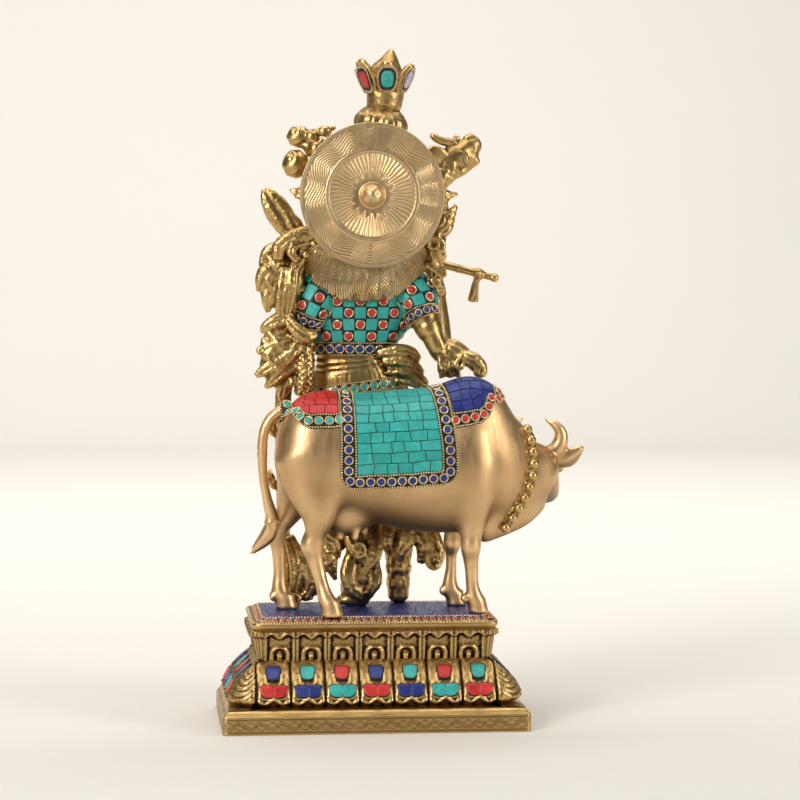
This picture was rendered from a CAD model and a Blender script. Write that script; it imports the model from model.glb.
"""The looks of a cast brass flute player who stands before a cow on a lotus plinth, with inlaid stone chips.

The statue is seen from behind. Sizes in the tables are millimetres and turn into metres when a mesh is made.
The origin is under the middle of the plinth, +Z is up, the cow's flank and the figure's back face -Y.
"""

import math

import bmesh
import bpy
import numpy as np
import openvdb
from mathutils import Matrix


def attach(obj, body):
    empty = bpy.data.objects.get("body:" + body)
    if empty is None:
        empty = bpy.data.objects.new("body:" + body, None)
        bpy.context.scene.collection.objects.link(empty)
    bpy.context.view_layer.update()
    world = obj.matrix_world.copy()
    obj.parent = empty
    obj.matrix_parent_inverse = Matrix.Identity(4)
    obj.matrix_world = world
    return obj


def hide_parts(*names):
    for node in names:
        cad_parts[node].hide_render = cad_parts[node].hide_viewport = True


bl_info = {
    "name": "Flute Player and Cow",
    "version": (1, 0, 0),
    "blender": (4, 5, 0),
    "location": "View3D > Sidebar > Statue",
    "description": "Builds the cast, carved and inlaid surfaces of the statue",
    "category": "Object",
}

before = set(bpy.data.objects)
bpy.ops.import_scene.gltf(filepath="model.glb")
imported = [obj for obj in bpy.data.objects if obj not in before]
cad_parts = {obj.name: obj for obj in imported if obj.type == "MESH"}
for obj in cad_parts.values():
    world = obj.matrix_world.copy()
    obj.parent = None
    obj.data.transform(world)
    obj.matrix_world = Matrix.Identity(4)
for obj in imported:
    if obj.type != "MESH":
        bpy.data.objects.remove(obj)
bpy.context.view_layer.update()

MM = 0.001
FAR = 20.0  # distances beyond this aren't worked out
FLOOR = 92.0  # the height of the platform that the cow and the figure stand on
RELIEF_ROOM = 1.5  # how far relief may rise out of a form
RAY_STEPS = 48  # steps of a ray on its way to a casting
RAY_SHARE = 0.8  # the share of the free distance that each of those steps takes
# The sizes of the small cubes that the castings are made of
PITCH = {
    "cow": 1.9,
    "garland": 1.0,
    "torso": 1.6,
    "figure": 1.5,
    "head": 1.15,
    "hair": 1.2,
    "foliage": 1.15,
    "crest": 1.1,
    "flute": 0.85,
}
SEED = 7


# Sections and paths


def unit(vectors):
    """Vectors of length one."""
    vectors = np.asarray(vectors, float)
    return vectors / np.maximum(np.linalg.norm(vectors, axis=-1, keepdims=True), 1e-9)


def between(stations, count):
    """Smooth values at even shares of a row of stations, through every station."""
    rows = np.array(stations, float)
    last = len(rows) - 1
    place = np.minimum(np.linspace(0, last, count), last - 1e-6)
    start = place.astype(int)
    part = (place - start)[:, None]
    before, here, ahead, after = (rows[np.clip(start + k, 0, last)] for k in (-1, 0, 1, 2))
    square = 2 * before - 5 * here + 4 * ahead - after
    cube = 3 * here - before - 3 * ahead + after
    return here + 0.5 * ((ahead - before) * part + square * part**2 + cube * part**3)


class Sections:
    """The elliptical sections of a limb: centres, axes and half sizes at even shares of its length."""

    def __init__(self, stations, count, reference=(0, 1, 0)):
        rows = between(stations, count)
        self.centre = rows[:, :3]
        self.along = unit(np.gradient(self.centre, axis=0))
        up = unit(reference)
        self.deep = unit(up - self.along * (self.along @ up)[:, None])
        self.across = np.cross(self.along, self.deep)
        self.half_across = np.maximum(rows[:, 3], 0.4)
        self.half_deep = np.maximum(rows[:, -1], 0.4)

    def point(self, share, angle, grow=0.0):
        """Points on the surface at a share of the length and an angle about it, as arrays."""
        shares = np.linspace(0, 1, len(self.centre))

        def at(values):
            return np.stack([np.interp(share, shares, values[:, k]) for k in range(3)], axis=-1)

        a = np.interp(share, shares, self.half_across) + grow
        b = np.interp(share, shares, self.half_deep) + grow
        side = at(self.across) * (np.cos(angle) * a)[..., None]
        return at(self.centre) + side + at(self.deep) * (np.sin(angle) * b)[..., None]


def path_length(points):
    """How far along a path each of its points is."""
    steps = np.linalg.norm(np.diff(points, axis=0), axis=1)
    return np.concatenate([[0.0], np.cumsum(steps)])


def spaced(points, pitch):
    """Points along a path at an even pitch that fits it."""
    points = np.asarray(points, float)
    far = path_length(points)
    count = max(2, int(round(far[-1] / pitch)) + 1)
    at = np.linspace(0, far[-1], count)
    return np.stack([np.interp(at, far, points[:, k]) for k in range(3)], axis=-1)


# Solid casting: a block of space where every cube knows its distance from the surface


class Cast:
    """A block of small cubes. Each holds its distance from the cast surface, and less than 0 is metal."""

    def __init__(self, low, high, pitch):
        self.low = np.array(low, float)
        self.pitch = pitch
        self.count = np.ceil((np.array(high) - self.low) / pitch).astype(int) + 1
        self.depth = np.full(self.count, FAR, np.float32)

    def window(self, low, high):
        """The slices of a box and the coordinates of its cubes."""
        first = np.floor((np.array(low) - self.low) / self.pitch).astype(int)
        last = np.ceil((np.array(high) - self.low) / self.pitch).astype(int) + 1
        first = np.clip(first, 0, self.count - 1)
        last = np.clip(last, first + 1, self.count)
        part = tuple(slice(a, b) for a, b in zip(first, last))
        axes = [self.low[k] + self.pitch * np.arange(first[k], last[k]) for k in range(3)]
        x, y, z = (axis.astype(np.float32) for axis in axes)
        return part, (x[:, None, None], y[None, :, None], z[None, None, :])

    def mix(self, part, near, blend):
        """Joins a form to the casting with a fillet of the given size."""
        here = self.depth[part]
        joined = np.minimum(here, near)
        if blend > 0:
            fillet = np.maximum(blend - np.abs(here - near), 0) / blend
            joined -= fillet * fillet * (blend / 4)
        self.depth[part] = joined

    def ball(self, centre, sizes, blend=2.0, relief=None):
        """An ellipsoid. relief(x, y, z) raises it, with x, y and z measured from its middle in half sizes."""
        sizes = np.array(sizes, float)
        reach = sizes + blend + 2 * self.pitch + (RELIEF_ROOM if relief else 0)
        part, (x, y, z) = self.window(np.array(centre) - reach, np.array(centre) + reach)
        x, y, z = ((v - c) / s for v, c, s in zip((x, y, z), centre, sizes))
        size = np.sqrt(x * x + y * y + z * z)
        slope = np.sqrt((x / sizes[0]) ** 2 + (y / sizes[1]) ** 2 + (z / sizes[2]) ** 2)
        near = size * (size - 1) / np.maximum(slope, 1e-4)
        if relief:
            near = near - relief(x, y, z)
        self.mix(part, near.astype(np.float32), blend)

    def balls(self, points, radius, blend=0.6):
        """Round beads at a list of points."""
        for point in points:
            self.ball(point, (radius, radius, radius), blend)

    def limb(self, stations, reference=(0, 1, 0), blend=2.0, relief=None, cap=0.6, step=3.5):
        """A rounded limb of elliptical sections.

        relief(share, angle, side) raises its surface: share runs along it, angle about it, and side across
        it, from -1 to 1."""
        rough = between(stations, 12)[:, :3]
        count = max(2 * len(stations), int(path_length(rough)[-1] / step) + 2)
        s = Sections(stations, count, reference)
        room = blend + 2 * self.pitch + (RELIEF_ROOM if relief else 0)
        wide = np.maximum(s.half_across, s.half_deep) + room
        whole, axes = self.window(s.centre.min(0) - wide.max(), s.centre.max(0) + wide.max())
        near = np.full([p.stop - p.start for p in whole], FAR, np.float32)
        for k in range(count - 1):
            pair = s.centre[k : k + 2]
            size = wide[k : k + 2].max()
            part, axes = self.window(pair.min(0) - size, pair.max(0) + size)
            distance = self._segment(s, k, count, axes, cap, relief)
            inner = tuple(slice(p.start - w.start, p.stop - w.start) for p, w in zip(part, whole))
            near[inner] = np.minimum(near[inner], distance)
        self.mix(whole, near, blend)

    def _segment(self, s, k, count, axes, cap, relief):
        """Distance from the short length of a limb between two of its sections."""
        start = s.centre[k]
        run = s.centre[k + 1] - start
        x, y, z = (axes[n] - np.float32(start[n]) for n in range(3))
        t = (x * run[0] + y * run[1] + z * run[2]) / max(run @ run, 1e-9)
        t = np.clip(t, 0, 1).astype(np.float32)
        x, y, z = (v - t * np.float32(run[n]) for n, v in enumerate((x, y, z)))

        def measure(axis):
            first = axis[k].astype(np.float32)
            turn = (axis[k + 1] - axis[k]).astype(np.float32)
            still = x * first[0] + y * first[1] + z * first[2]
            return still + t * (x * turn[0] + y * turn[1] + z * turn[2])

        a = s.half_across[k] + t * (s.half_across[k + 1] - s.half_across[k])
        b = s.half_deep[k] + t * (s.half_deep[k + 1] - s.half_deep[k])
        c = np.maximum(np.minimum(a, b) * cap, 0.5)
        u = measure(s.across) / a
        v = measure(s.deep) / b
        w = measure(s.along) / c
        size = np.sqrt(u * u + v * v + w * w)
        slope = np.sqrt((u / a) ** 2 + (v / b) ** 2 + (w / c) ** 2)
        distance = size * (size - 1) / np.maximum(slope, 1e-4)
        if relief:
            distance = distance - relief((k + t) / (count - 1), np.arctan2(v, u), u)
        return distance.astype(np.float32)

    def leaf(self, stalk, middle, tip, width, thick, facing=(0, 1, 0), ribs=5, blend=1.5):
        """A pointed leaf with a groove down its middle and slanting ribs."""
        stalk, middle, tip = (np.array(p, float) for p in (stalk, middle, tip))

        def at(point, share):
            return [*point, width * share, thick * (0.4 + 0.6 * share)]

        rows = [
            at(stalk, 0.35),
            at((stalk + middle) / 2, 0.85),
            at(middle, 1),
            at((middle + tip) / 2, 0.72),
            at(tip, 0.12),
        ]

        def veins(share, angle, side):
            groove = -0.9 * np.exp(-((side / 0.16) ** 2))
            slant = 0.45 * np.cos(2 * np.pi * (share * ribs - np.abs(side) * 0.9))
            return groove + slant * np.clip(np.abs(side) * 2.5, 0, 1)

        self.limb(rows, facing, blend, veins, step=2.5)

    def lobe(self, rows, facing=(0, 1, 0), hatch=1.9, blend=1.2):
        """A fleshy leaf lobe: a groove down its middle, a raised rim and a hatched band inside the rim."""
        lines = path_length(between(rows, 12)[:, :3])[-1] / hatch

        def veins(share, angle, side):
            away = np.abs(side)
            groove = -1.1 * np.exp(-((away / 0.2) ** 2)) + 0.5 * np.exp(-(((away - 0.8) / 0.12) ** 2))
            inside = np.clip((away - 0.15) * 5, 0, 1) * np.clip((0.72 - away) * 9, 0, 1)
            return groove + 0.5 * np.cos(2 * np.pi * (share * lines - away)) * inside

        self.limb(rows, facing, blend, veins, step=2.5)

    def curl(self, centre, radius, start, turns, thick, tilt=0.0, ridges=3, blend=1.5):
        """A rod that winds inwards in the XZ plane, ridged lengthwise. tilt brings its eye towards -Y."""
        steps = 9
        share = np.linspace(0, 1, steps)
        angle = start + turns * 2 * np.pi * share
        size = radius * (1 - 0.78 * share)
        rows = np.stack(
            [
                centre[0] + size * np.cos(angle),
                centre[1] - tilt * share,
                centre[2] + size * np.sin(angle),
                thick * (1 - 0.4 * share),
                thick * (1 - 0.4 * share),
            ],
            axis=-1,
        )
        self.limb(rows, (0, 1, 0), blend, lambda share, angle, side: 0.5 * np.cos(angle * ridges), step=2.2)

    def roughen(self, low, high, amount, pitch=5.0):
        """Gives what is cast inside a box the uneven, knobbly surface of hand-worked detail."""
        part, (x, y, z) = self.window(low, high)
        w = 2 * np.pi / pitch
        knobs = np.cos(w * x + 2 * np.cos(w * z / 2.3)) * np.cos(w * z + 1.7 * np.cos(w * x / 1.9))
        grains = 0.6 * np.cos(2.1 * w * x + y) * np.cos(1.9 * w * z + w * y)
        self.depth[part] += (amount * (knobs + grains)).astype(np.float32)

    def soften(self, rounds):
        """Smooths what is cast so far."""
        for _ in range(rounds):
            for axis in range(3):
                sides = np.roll(self.depth, 1, axis) + np.roll(self.depth, -1, axis)
                self.depth = 0.5 * self.depth + 0.25 * sides

    def cut(self, low, high):
        """Takes a box out of the casting."""
        part, (x, y, z) = self.window(np.array(low) - 1, np.array(high) + 1)
        middle = (np.array(low) + np.array(high)) / 2
        half = (np.array(high) - np.array(low)) / 2
        box = np.maximum(np.abs(x - middle[0]) - half[0], np.abs(y - middle[1]) - half[1])
        box = np.maximum(box, np.abs(z - middle[2]) - half[2])
        self.depth[part] = np.maximum(self.depth[part], -box)

    def stand(self, level=FLOOR):
        """Cuts the casting off flat at the floor."""
        z = self.low[2] + self.pitch * np.arange(self.count[2], dtype=np.float32)
        self.depth = np.maximum(self.depth, (level - z)[None, None, :])

    def at(self, points):
        """The distance at any points, read between the cubes."""
        place = (np.asarray(points, float) - self.low) / self.pitch
        place = np.clip(place, 0, self.count - 1.001)
        base = place.astype(int)
        part = place - base
        total = 0.0
        for corner in np.ndindex(2, 2, 2):
            weight = np.prod(np.where(corner, part, 1 - part), axis=-1)
            x, y, z = (base[..., k] + corner[k] for k in range(3))
            total = total + weight * self.depth[x, y, z]
        return total

    def slope(self, points):
        """The direction that leads away from the surface at any points."""
        reach = 1.2 * self.pitch
        steps = np.eye(3) * reach
        return unit(np.stack([self.at(points + s) - self.at(points - s) for s in steps], axis=-1))

    def land(self, start, way):
        """Where rays from outside first meet the surface, and which way it faces there."""
        point = np.array(start, float)
        way = unit(way)
        for _ in range(RAY_STEPS):
            gap = np.clip(self.at(point), -2, FAR)
            point = point + way * (gap * RAY_SHARE)[..., None]
        return point, self.slope(point)

    def mesh(self):
        """The surface as points and four-sided faces."""
        grid = openvdb.FloatGrid(FAR)
        grid.copyFromArray(self.depth)
        points, faces = grid.convertToQuads()
        return points * self.pitch + self.low, faces


# Meshes from numbers


def area_sums(points, faces):
    """The ways that the faces about each point of a mesh look, weighted by area, and the areas, summed."""
    side = np.cross(points[faces[:, 2]] - points[faces[:, 0]], points[faces[:, -1]] - points[faces[:, 1]])
    weights = np.column_stack([side, np.linalg.norm(side, axis=1)])
    sums = np.zeros((len(points), 4))
    for corner in faces.T:
        for axis, weight in enumerate(weights.T):
            sums[:, axis] += np.bincount(corner, weights=weight, minlength=len(points))
    return sums[:, :3], sums[:, 3]


def hollows(points, faces, rounds=7):
    """How deep each point of a mesh lies in a hollow, in millimetres; below 0 on a ridge."""
    count = len(points)
    corners = faces.shape[1]
    ends = np.concatenate([faces[:, [k, (k + 1) % corners]] for k in range(corners)])
    start, end = np.concatenate([ends, ends[:, ::-1]]).T
    degree = np.maximum(np.bincount(start, minlength=count), 1)
    smooth = points.copy()
    for _ in range(rounds):
        sums = [np.bincount(start, weights=smooth[end, k], minlength=count) for k in range(3)]
        smooth = 0.4 * smooth + 0.6 * np.stack(sums, axis=-1) / degree[:, None]
    way, _ = area_sums(points, faces)
    return ((smooth - points) * unit(way)).sum(-1)


def undersides(points, faces):
    """How far each point of a mesh faces down, from 0 on a wall or a slight overhang to 1 below."""
    way, area = area_sums(points, faces)
    return np.clip((-way[:, 2] / np.maximum(area, 1e-6) - 0.2) / 0.7, 0, 1)


def new_mesh(name, points, faces, material, fields=None, smooth=True):
    """A Blender object from millimetre points and an array of faces, or a list of arrays where the faces
    differ in their number of corners. fields are numbers kept at each point for the materials."""
    points = np.asarray(points, np.float64)
    groups = [np.asarray(group, np.int32) for group in (faces if isinstance(faces, list) else [faces])]
    corners = np.concatenate([np.full(len(group), group.shape[1], np.int32) for group in groups])
    flat = np.concatenate([group.ravel() for group in groups])
    mesh = bpy.data.meshes.new(name)
    mesh.vertices.add(len(points))
    mesh.vertices.foreach_set("co", (points * MM).astype(np.float32).ravel())
    mesh.loops.add(len(flat))
    mesh.loops.foreach_set("vertex_index", flat)
    mesh.polygons.add(len(corners))
    mesh.polygons.foreach_set("loop_start", (np.cumsum(corners) - corners).astype(np.int32))
    mesh.polygons.foreach_set("loop_total", corners)
    mesh.update(calc_edges=True)
    mesh.validate()
    mesh.polygons.foreach_set("use_smooth", np.full(len(mesh.polygons), smooth))
    for field, values in (fields or {}).items():
        layer = mesh.attributes.new(field, "FLOAT", "POINT")
        layer.data.foreach_set("value", np.asarray(values, np.float32))
    mesh.materials.append(material)
    piece = bpy.data.objects.new(name, mesh)
    bpy.context.scene.collection.objects.link(piece)
    return piece


def settle(piece, slot, *nodes):
    """Fixes a piece to the statue's one body, gives it its finish and hides the CAD nodes it stands for."""
    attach(piece, "root")
    if nodes:
        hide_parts(*nodes)


def cast_piece(cast, name, kind, *nodes, slot="antique_brass", rounds=5, flow=None, under=0.0):
    """Meshes a casting and settles it. flow gives the field that strands follow, and under darkens the
    undersides."""
    points, faces = cast.mesh()
    fields = {"hollow": hollows(points, faces, rounds) + under * undersides(points, faces)}
    if flow:
        fields["flow"] = flow(points)
    settle(new_mesh(name, points, faces, finishes()[kind], fields), slot, *nodes)


def grid_faces(rows, columns, round_columns=False):
    """Four-sided faces over a grid of points, which may close on itself sideways."""
    across = columns if round_columns else columns - 1
    r, c = np.meshgrid(np.arange(rows - 1), np.arange(across), indexing="ij")
    ahead = (c + 1) % columns
    here, above = r * columns, (r + 1) * columns
    return np.stack([here + c, here + ahead, above + ahead, above + c], -1).reshape(-1, 4)


# Materials


class Paint:
    """A material's node tree, built step by step."""

    def __init__(self, name):
        self.material = bpy.data.materials.new(name)
        self.material.use_nodes = True
        self.tree = self.material.node_tree
        self.shader = self.tree.nodes["Principled BSDF"]
        self.place = self.node("ShaderNodeTexCoord").outputs["Object"]

    def node(self, kind, inputs=None, **settings):
        """A node with its settings, and its inputs set to numbers or linked."""
        made = self.tree.nodes.new(kind)
        for key, value in settings.items():
            setattr(made, key, value)
        for key, value in (inputs or {}).items():
            self.feed(made.inputs[key], value)
        return made

    def feed(self, socket, value):
        """Links a socket or sets it."""
        if isinstance(value, bpy.types.NodeSocket):
            self.tree.links.new(value, socket)
        else:
            socket.default_value = value

    def noise(self, scale, detail=3.0, stretch=(1, 1, 1), roughness=0.55):
        """Cloudy noise between 0 and 1 over the object's own coordinates."""
        mapped = self.node("ShaderNodeMapping", {"Vector": self.place, "Scale": stretch})
        inputs = {"Vector": mapped.outputs[0], "Scale": scale, "Detail": detail, "Roughness": roughness}
        return self.node("ShaderNodeTexNoise", inputs).outputs["Fac"]

    def field(self, name):
        """A number kept at each point of the mesh."""
        return self.node("ShaderNodeAttribute", attribute_name=name).outputs["Fac"]

    def spread(self, value, low, high, to_low=0.0, to_high=1.0):
        """A value moved from one range to another and kept within it."""
        inputs = {"Value": value, "From Min": low, "From Max": high, "To Min": to_low, "To Max": to_high}
        return self.node("ShaderNodeMapRange", inputs, clamp=True).outputs[0]

    def blend(self, share, first, second, how="MIX"):
        """Two colours mixed."""
        made = self.node("ShaderNodeMix", data_type="RGBA", blend_type=how)
        self.feed(made.inputs[0], share)
        self.feed(made.inputs[6], first)
        self.feed(made.inputs[7], second)
        return made.outputs[2]

    def count(self, how, first, second=0.0):
        """Arithmetic on two values."""
        made = self.node("ShaderNodeMath", operation=how)
        self.feed(made.inputs[0], first)
        self.feed(made.inputs[1], second)
        return made.outputs[0]

    def bump(self, height, distance, strength=1.0, under=None):
        """Raises the surface where height is large. distance is in metres."""
        made = self.node("ShaderNodeBump", {"Height": height, "Distance": distance, "Strength": strength})
        if under is not None:
            self.feed(made.inputs["Normal"], under)
        return made.outputs[0]

    def finish(self, **inputs):
        """Feeds the shader and gives the material back. Double underscores stand for spaces."""
        for key, value in inputs.items():
            self.feed(self.shader.inputs[key.replace("_", " ")], value)
        return self.material


def rgba(colour):
    """A colour with full cover."""
    return (*colour[:3], 1.0)


def brass(name, bright, deep, dark, rough=0.3, hollow=0.55, brushed=0.0, grime=0.5, strands=False):
    """Cast brass: two mottled tones with dark grime in the hollows, fine grain and, where brushed, long
    scratches. strands draws fine hair along the field named flow."""
    paint = Paint(name)
    depth = paint.field("hollow")
    mottle = paint.spread(paint.noise(38, 4), 0.35, 0.7)
    tone = paint.blend(mottle, rgba(bright), rgba(deep))
    pocket = paint.spread(depth, 0.02, hollow)
    stain = paint.spread(paint.noise(120, 5), 0.42, 0.75, 0.0, grime)
    dirt = paint.count("MAXIMUM", pocket, paint.count("MULTIPLY", stain, paint.spread(depth, -0.3, 0.2)))
    polished = [min(1.0, c * 1.22 + 0.02) for c in bright]
    lit = paint.blend(paint.spread(depth, -0.05, -0.5), tone, rgba(polished))
    colour = paint.blend(dirt, lit, rgba(dark))
    scratches = paint.noise(260, 4, stretch=(1, 1, 0.08))
    gloss = paint.spread(scratches, 0.3, 0.7, rough - 0.06, rough + 0.08)
    roughness = paint.blend(dirt, gloss, rgba([GRIME_ROUGHNESS] * 3))
    fine = paint.bump(paint.noise(900, 3), 0.00012, 0.6)
    normal = paint.bump(scratches, 0.00006, 0.3 + brushed, fine)
    if strands:
        wave = paint.count("SINE", paint.field("flow"))
        colour = paint.blend(paint.spread(wave, -0.4, -1.0, 0, 0.55), colour, rgba(dark))
        normal = paint.bump(wave, 0.0003, 1.0, normal)
    return paint.finish(Base_Color=colour, Metallic=1.0, Roughness=roughness, Normal=normal)


def stone(name, base, light, dark, rough=0.38):
    """Polished stone chips: each one has its own shade from the number kept on its points."""
    paint = Paint(name)
    shade = paint.field("shade")
    clouds = paint.spread(paint.noise(160, 5), 0.35, 0.7)
    tone = paint.blend(shade, rgba(base), rgba(light))
    veined = paint.blend(paint.count("MULTIPLY", clouds, 0.45), tone, rgba(dark))
    cracks = paint.noise(420, 6, roughness=0.7)
    line = paint.spread(cracks, 0.62, 0.7)
    colour = paint.blend(paint.count("MULTIPLY", line, 0.5), veined, rgba(dark))
    roughness = paint.spread(paint.noise(300, 3), 0.3, 0.7, rough - 0.1, rough + 0.12)
    normal = paint.bump(paint.noise(500, 4), 0.00015, 0.5)
    return paint.finish(Base_Color=colour, Roughness=roughness, Normal=normal, Specular_IOR_Level=0.45)


def resin(name, colour):
    """The black resin that the chips are bedded in, a little brassy where it has rubbed through."""
    paint = Paint(name)
    rub = paint.spread(paint.noise(700, 5, roughness=0.7), 0.56, 0.72)
    tone = paint.blend(paint.count("MULTIPLY", rub, 0.5), rgba(colour), rgba((0.16, 0.11, 0.06)))
    roughness = paint.spread(paint.noise(350, 3), 0.3, 0.7, 0.35, 0.6)
    normal = paint.bump(paint.noise(600, 4), 0.0003, 0.7)
    return paint.finish(Base_Color=tone, Roughness=roughness, Normal=normal)


GRIME_ROUGHNESS = 0.62
FINISHES = {}
SLOTS = {"wire": "satin_brass", "resin": "black_resin"}


def finishes():
    """Every material of the statue, made once from the colours that the user may change."""
    if FINISHES:
        return FINISHES
    colours = bpy.context.scene.statue_colours
    light = colours.brass
    deep = colours.brass_shade
    dark = colours.grime
    FINISHES["carved"] = brass("antique_brass", light, deep, dark, 0.32, 0.42)
    worn = (np.array(light) * 0.55 + np.array(deep) * 0.45).tolist()
    FINISHES["aged"] = brass("aged_brass", worn, deep, dark, 0.36, 0.42)
    FINISHES["hair"] = brass("hair_brass", colours.disc, light, dark, 0.3, 0.8, strands=True)
    FINISHES["satin"] = brass("satin_brass", colours.satin, colours.satin_shade, dark, 0.4, 2.5, 0.5, 0.0)
    pale = (colours.disc, colours.satin, colours.disc_line)
    FINISHES["pale"] = brass("pale_brass", *pale, 0.4, 0.25, 0.1, 0.1)
    FINISHES["wire"] = brass("wire_brass", colours.wire, colours.disc, dark, 0.32, 0.8, 0.0, 0.0)
    for key in ("turquoise", "coral", "lapis", "lilac"):
        base = np.array(getattr(colours, key))
        lighter = np.minimum(base * 1.25 + 0.02, 1)
        FINISHES[key] = stone(key + "_stone", base, lighter, base * 0.45)
    FINISHES["resin"] = resin("black_resin", colours.resin)
    return FINISHES


def dress(piece, kind, *nodes):
    """Settles a piece of stone, resin or wire under the slot of its kind."""
    settle(piece, SLOTS.get(kind, kind + "_stone"), *nodes)


# The statue's tables, in millimetres

BODY = [
    [-66, -22, 229, 27, 33],
    [-57, -22, 228, 33, 44],
    [-38, -22, 227, 37, 49],
    [-8, -22, 222, 40, 52],
    [28, -22, 219, 41, 58],
    [60, -22, 217, 38, 60],
    [84, -21, 217, 32, 56],
    [104, -18, 212, 25, 45],
    [121, -9, 205, 20, 36],
    [136, 3, 205, 18, 25],
]
HUMP = ([80, -22, 259], [30, 19, 28])
DEWLAP = [
    [92, -20, 166, 12, 18],
    [110, -17, 168, 9, 14],
    [128, -8, 172, 8, 11],
    [142, 6, 180, 8, 9],
]
HEAD = [
    [140, 4, 208, 19, 21],
    [145, 20, 205, 17, 18],
    [151, 36, 197, 14, 15],
    [155, 50, 190, 12.5, 12],
    [157, 63, 185, 12, 9.5],
]
NEAR_HIND_LEG = [
    [-54, -38, 222, 27, 19],
    [-48, -44, 194, 23, 15],
    [-46, -45, 174, 14, 12],
    [-48, -43, 160, 9, 9],
    [-50, -42, 149, 8.5, 8.5],
    [-47, -43, 134, 7, 6.6],
    [-43, -45, 118, 6, 6],
    [-40, -47, 107, 7.4, 7.4],
    [-36, -48, 100, 8.6, 8],
]
FAR_HIND_LEG = [
    [-54, -4, 218, 24, 18],
    [-60, 0, 190, 18, 14],
    [-68, 4, 172, 11, 10],
    [-77, 6, 158, 8.5, 8],
    [-76, 6, 142, 6.5, 6.5],
    [-75, 6, 122, 6, 6],
    [-75, 6, 108, 7.6, 7.4],
    [-71, 5, 100, 8.4, 8],
]
NEAR_FRONT_LEG = [
    [82, -36, 214, 20, 18],
    [82, -41, 188, 15, 13],
    [81, -40, 165, 10, 10],
    [80, -39, 146, 8.2, 8],
    [81, -38, 130, 6.4, 6.4],
    [82, -37, 113, 6.2, 6.2],
    [84, -37, 105, 7.8, 7.5],
    [86, -36, 99, 8.2, 8],
]
FAR_FRONT_LEG = [
    [72, -8, 208, 18, 14],
    [72, 2, 178, 12, 10],
    [71, 10, 158, 8, 8],
    [70, 13, 142, 6, 6],
    [70, 14, 124, 5.4, 5.4],
    [69, 15, 109, 7.2, 7],
    [73, 16, 100, 8, 7.6],
]
TAIL = [
    [-70, -22, 262, 5],
    [-83, -22, 254, 4.6],
    [-90, -22, 238, 4.2],
    [-90, -21, 208, 3.9],
    [-86, -20, 184, 4.2],
    [-82, -18, 168, 5.6],
    [-86, -15, 156, 6.2],
    [-94, -12, 147, 4],
    [-99, -11, 141, 1],
]
HORN = [
    [151, 8, 217, 8],
    [160, 7, 227, 6.8],
    [162, 6, 237, 5.4],
    [157, 6, 245, 3.8],
    [148.5, 7, 249.5, 1.2],
]
FACE_MIDDLE = 140  # the cow's far horn and ear mirror the near ones about this X
EAR = ([155, 9, 214], [168, 8, 217], [178, 7, 225])
HOOVES = [(-35, -48, 10), (-69, 5, 10), (87, -36, 9.5), (75, 16, 9.5)]
NECKLACE = ([126, -14, 243], [129, -22, 202], [108, -23, 162])
NECK_OUT = unit((0.45, -1, 0))  # the way that the near side of the cow's neck faces
NECK_POINTS = 60  # points along the cow's necklace
# A muscle's place, its half sizes and its fillet
MUSCLES = [
    [(-50, -34, 236), (22, 20, 26), 14],
    [(-50, -8, 236), (22, 20, 26), 14],
    [(82, -38, 216), (17, 16, 34), 10],
    [(128, 6, 190), (14, 14, 16), 10],
]
# The knobs of the leg joints and their half sizes
LEG_JOINTS = [(-52, -41, 151, 8), (-78, 7, 157, 8), (80, -41, 148, 6.4), (71, 11, 146, 6.5)]
# The small spurs above the hooves
SPURS = [(-33, -49, 106), (-78, 5, 104), (78, -38, 106), (66, 15, 106)]
# Where the teats stand, in X and Y
TEATS = [(-26, -32), (-14, -34), (-26, -18), (-14, -16)]
MUZZLE = np.array([157.5, 67, 184])
MOUTH = [[149, 68, 179, 2.2], [157, 72, 178, 2.6], [165, 68, 179, 2.2]]


def far_side(row):
    """The same place on the far side of the cow's face."""
    return [2 * FACE_MIDDLE - row[0], row[1] + 12, *row[2:]]


# The cow


def necklace_path():
    """The curve of the cow's necklace, from the nape to the throat."""
    top, middle, bottom = (np.array(p, float) for p in NECKLACE)
    bend = 2 * middle - (top + bottom) / 2
    t = np.linspace(0, 1, NECK_POINTS)[:, None]
    return (1 - t) ** 2 * top + 2 * t * (1 - t) * bend + t**2 * bottom


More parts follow.
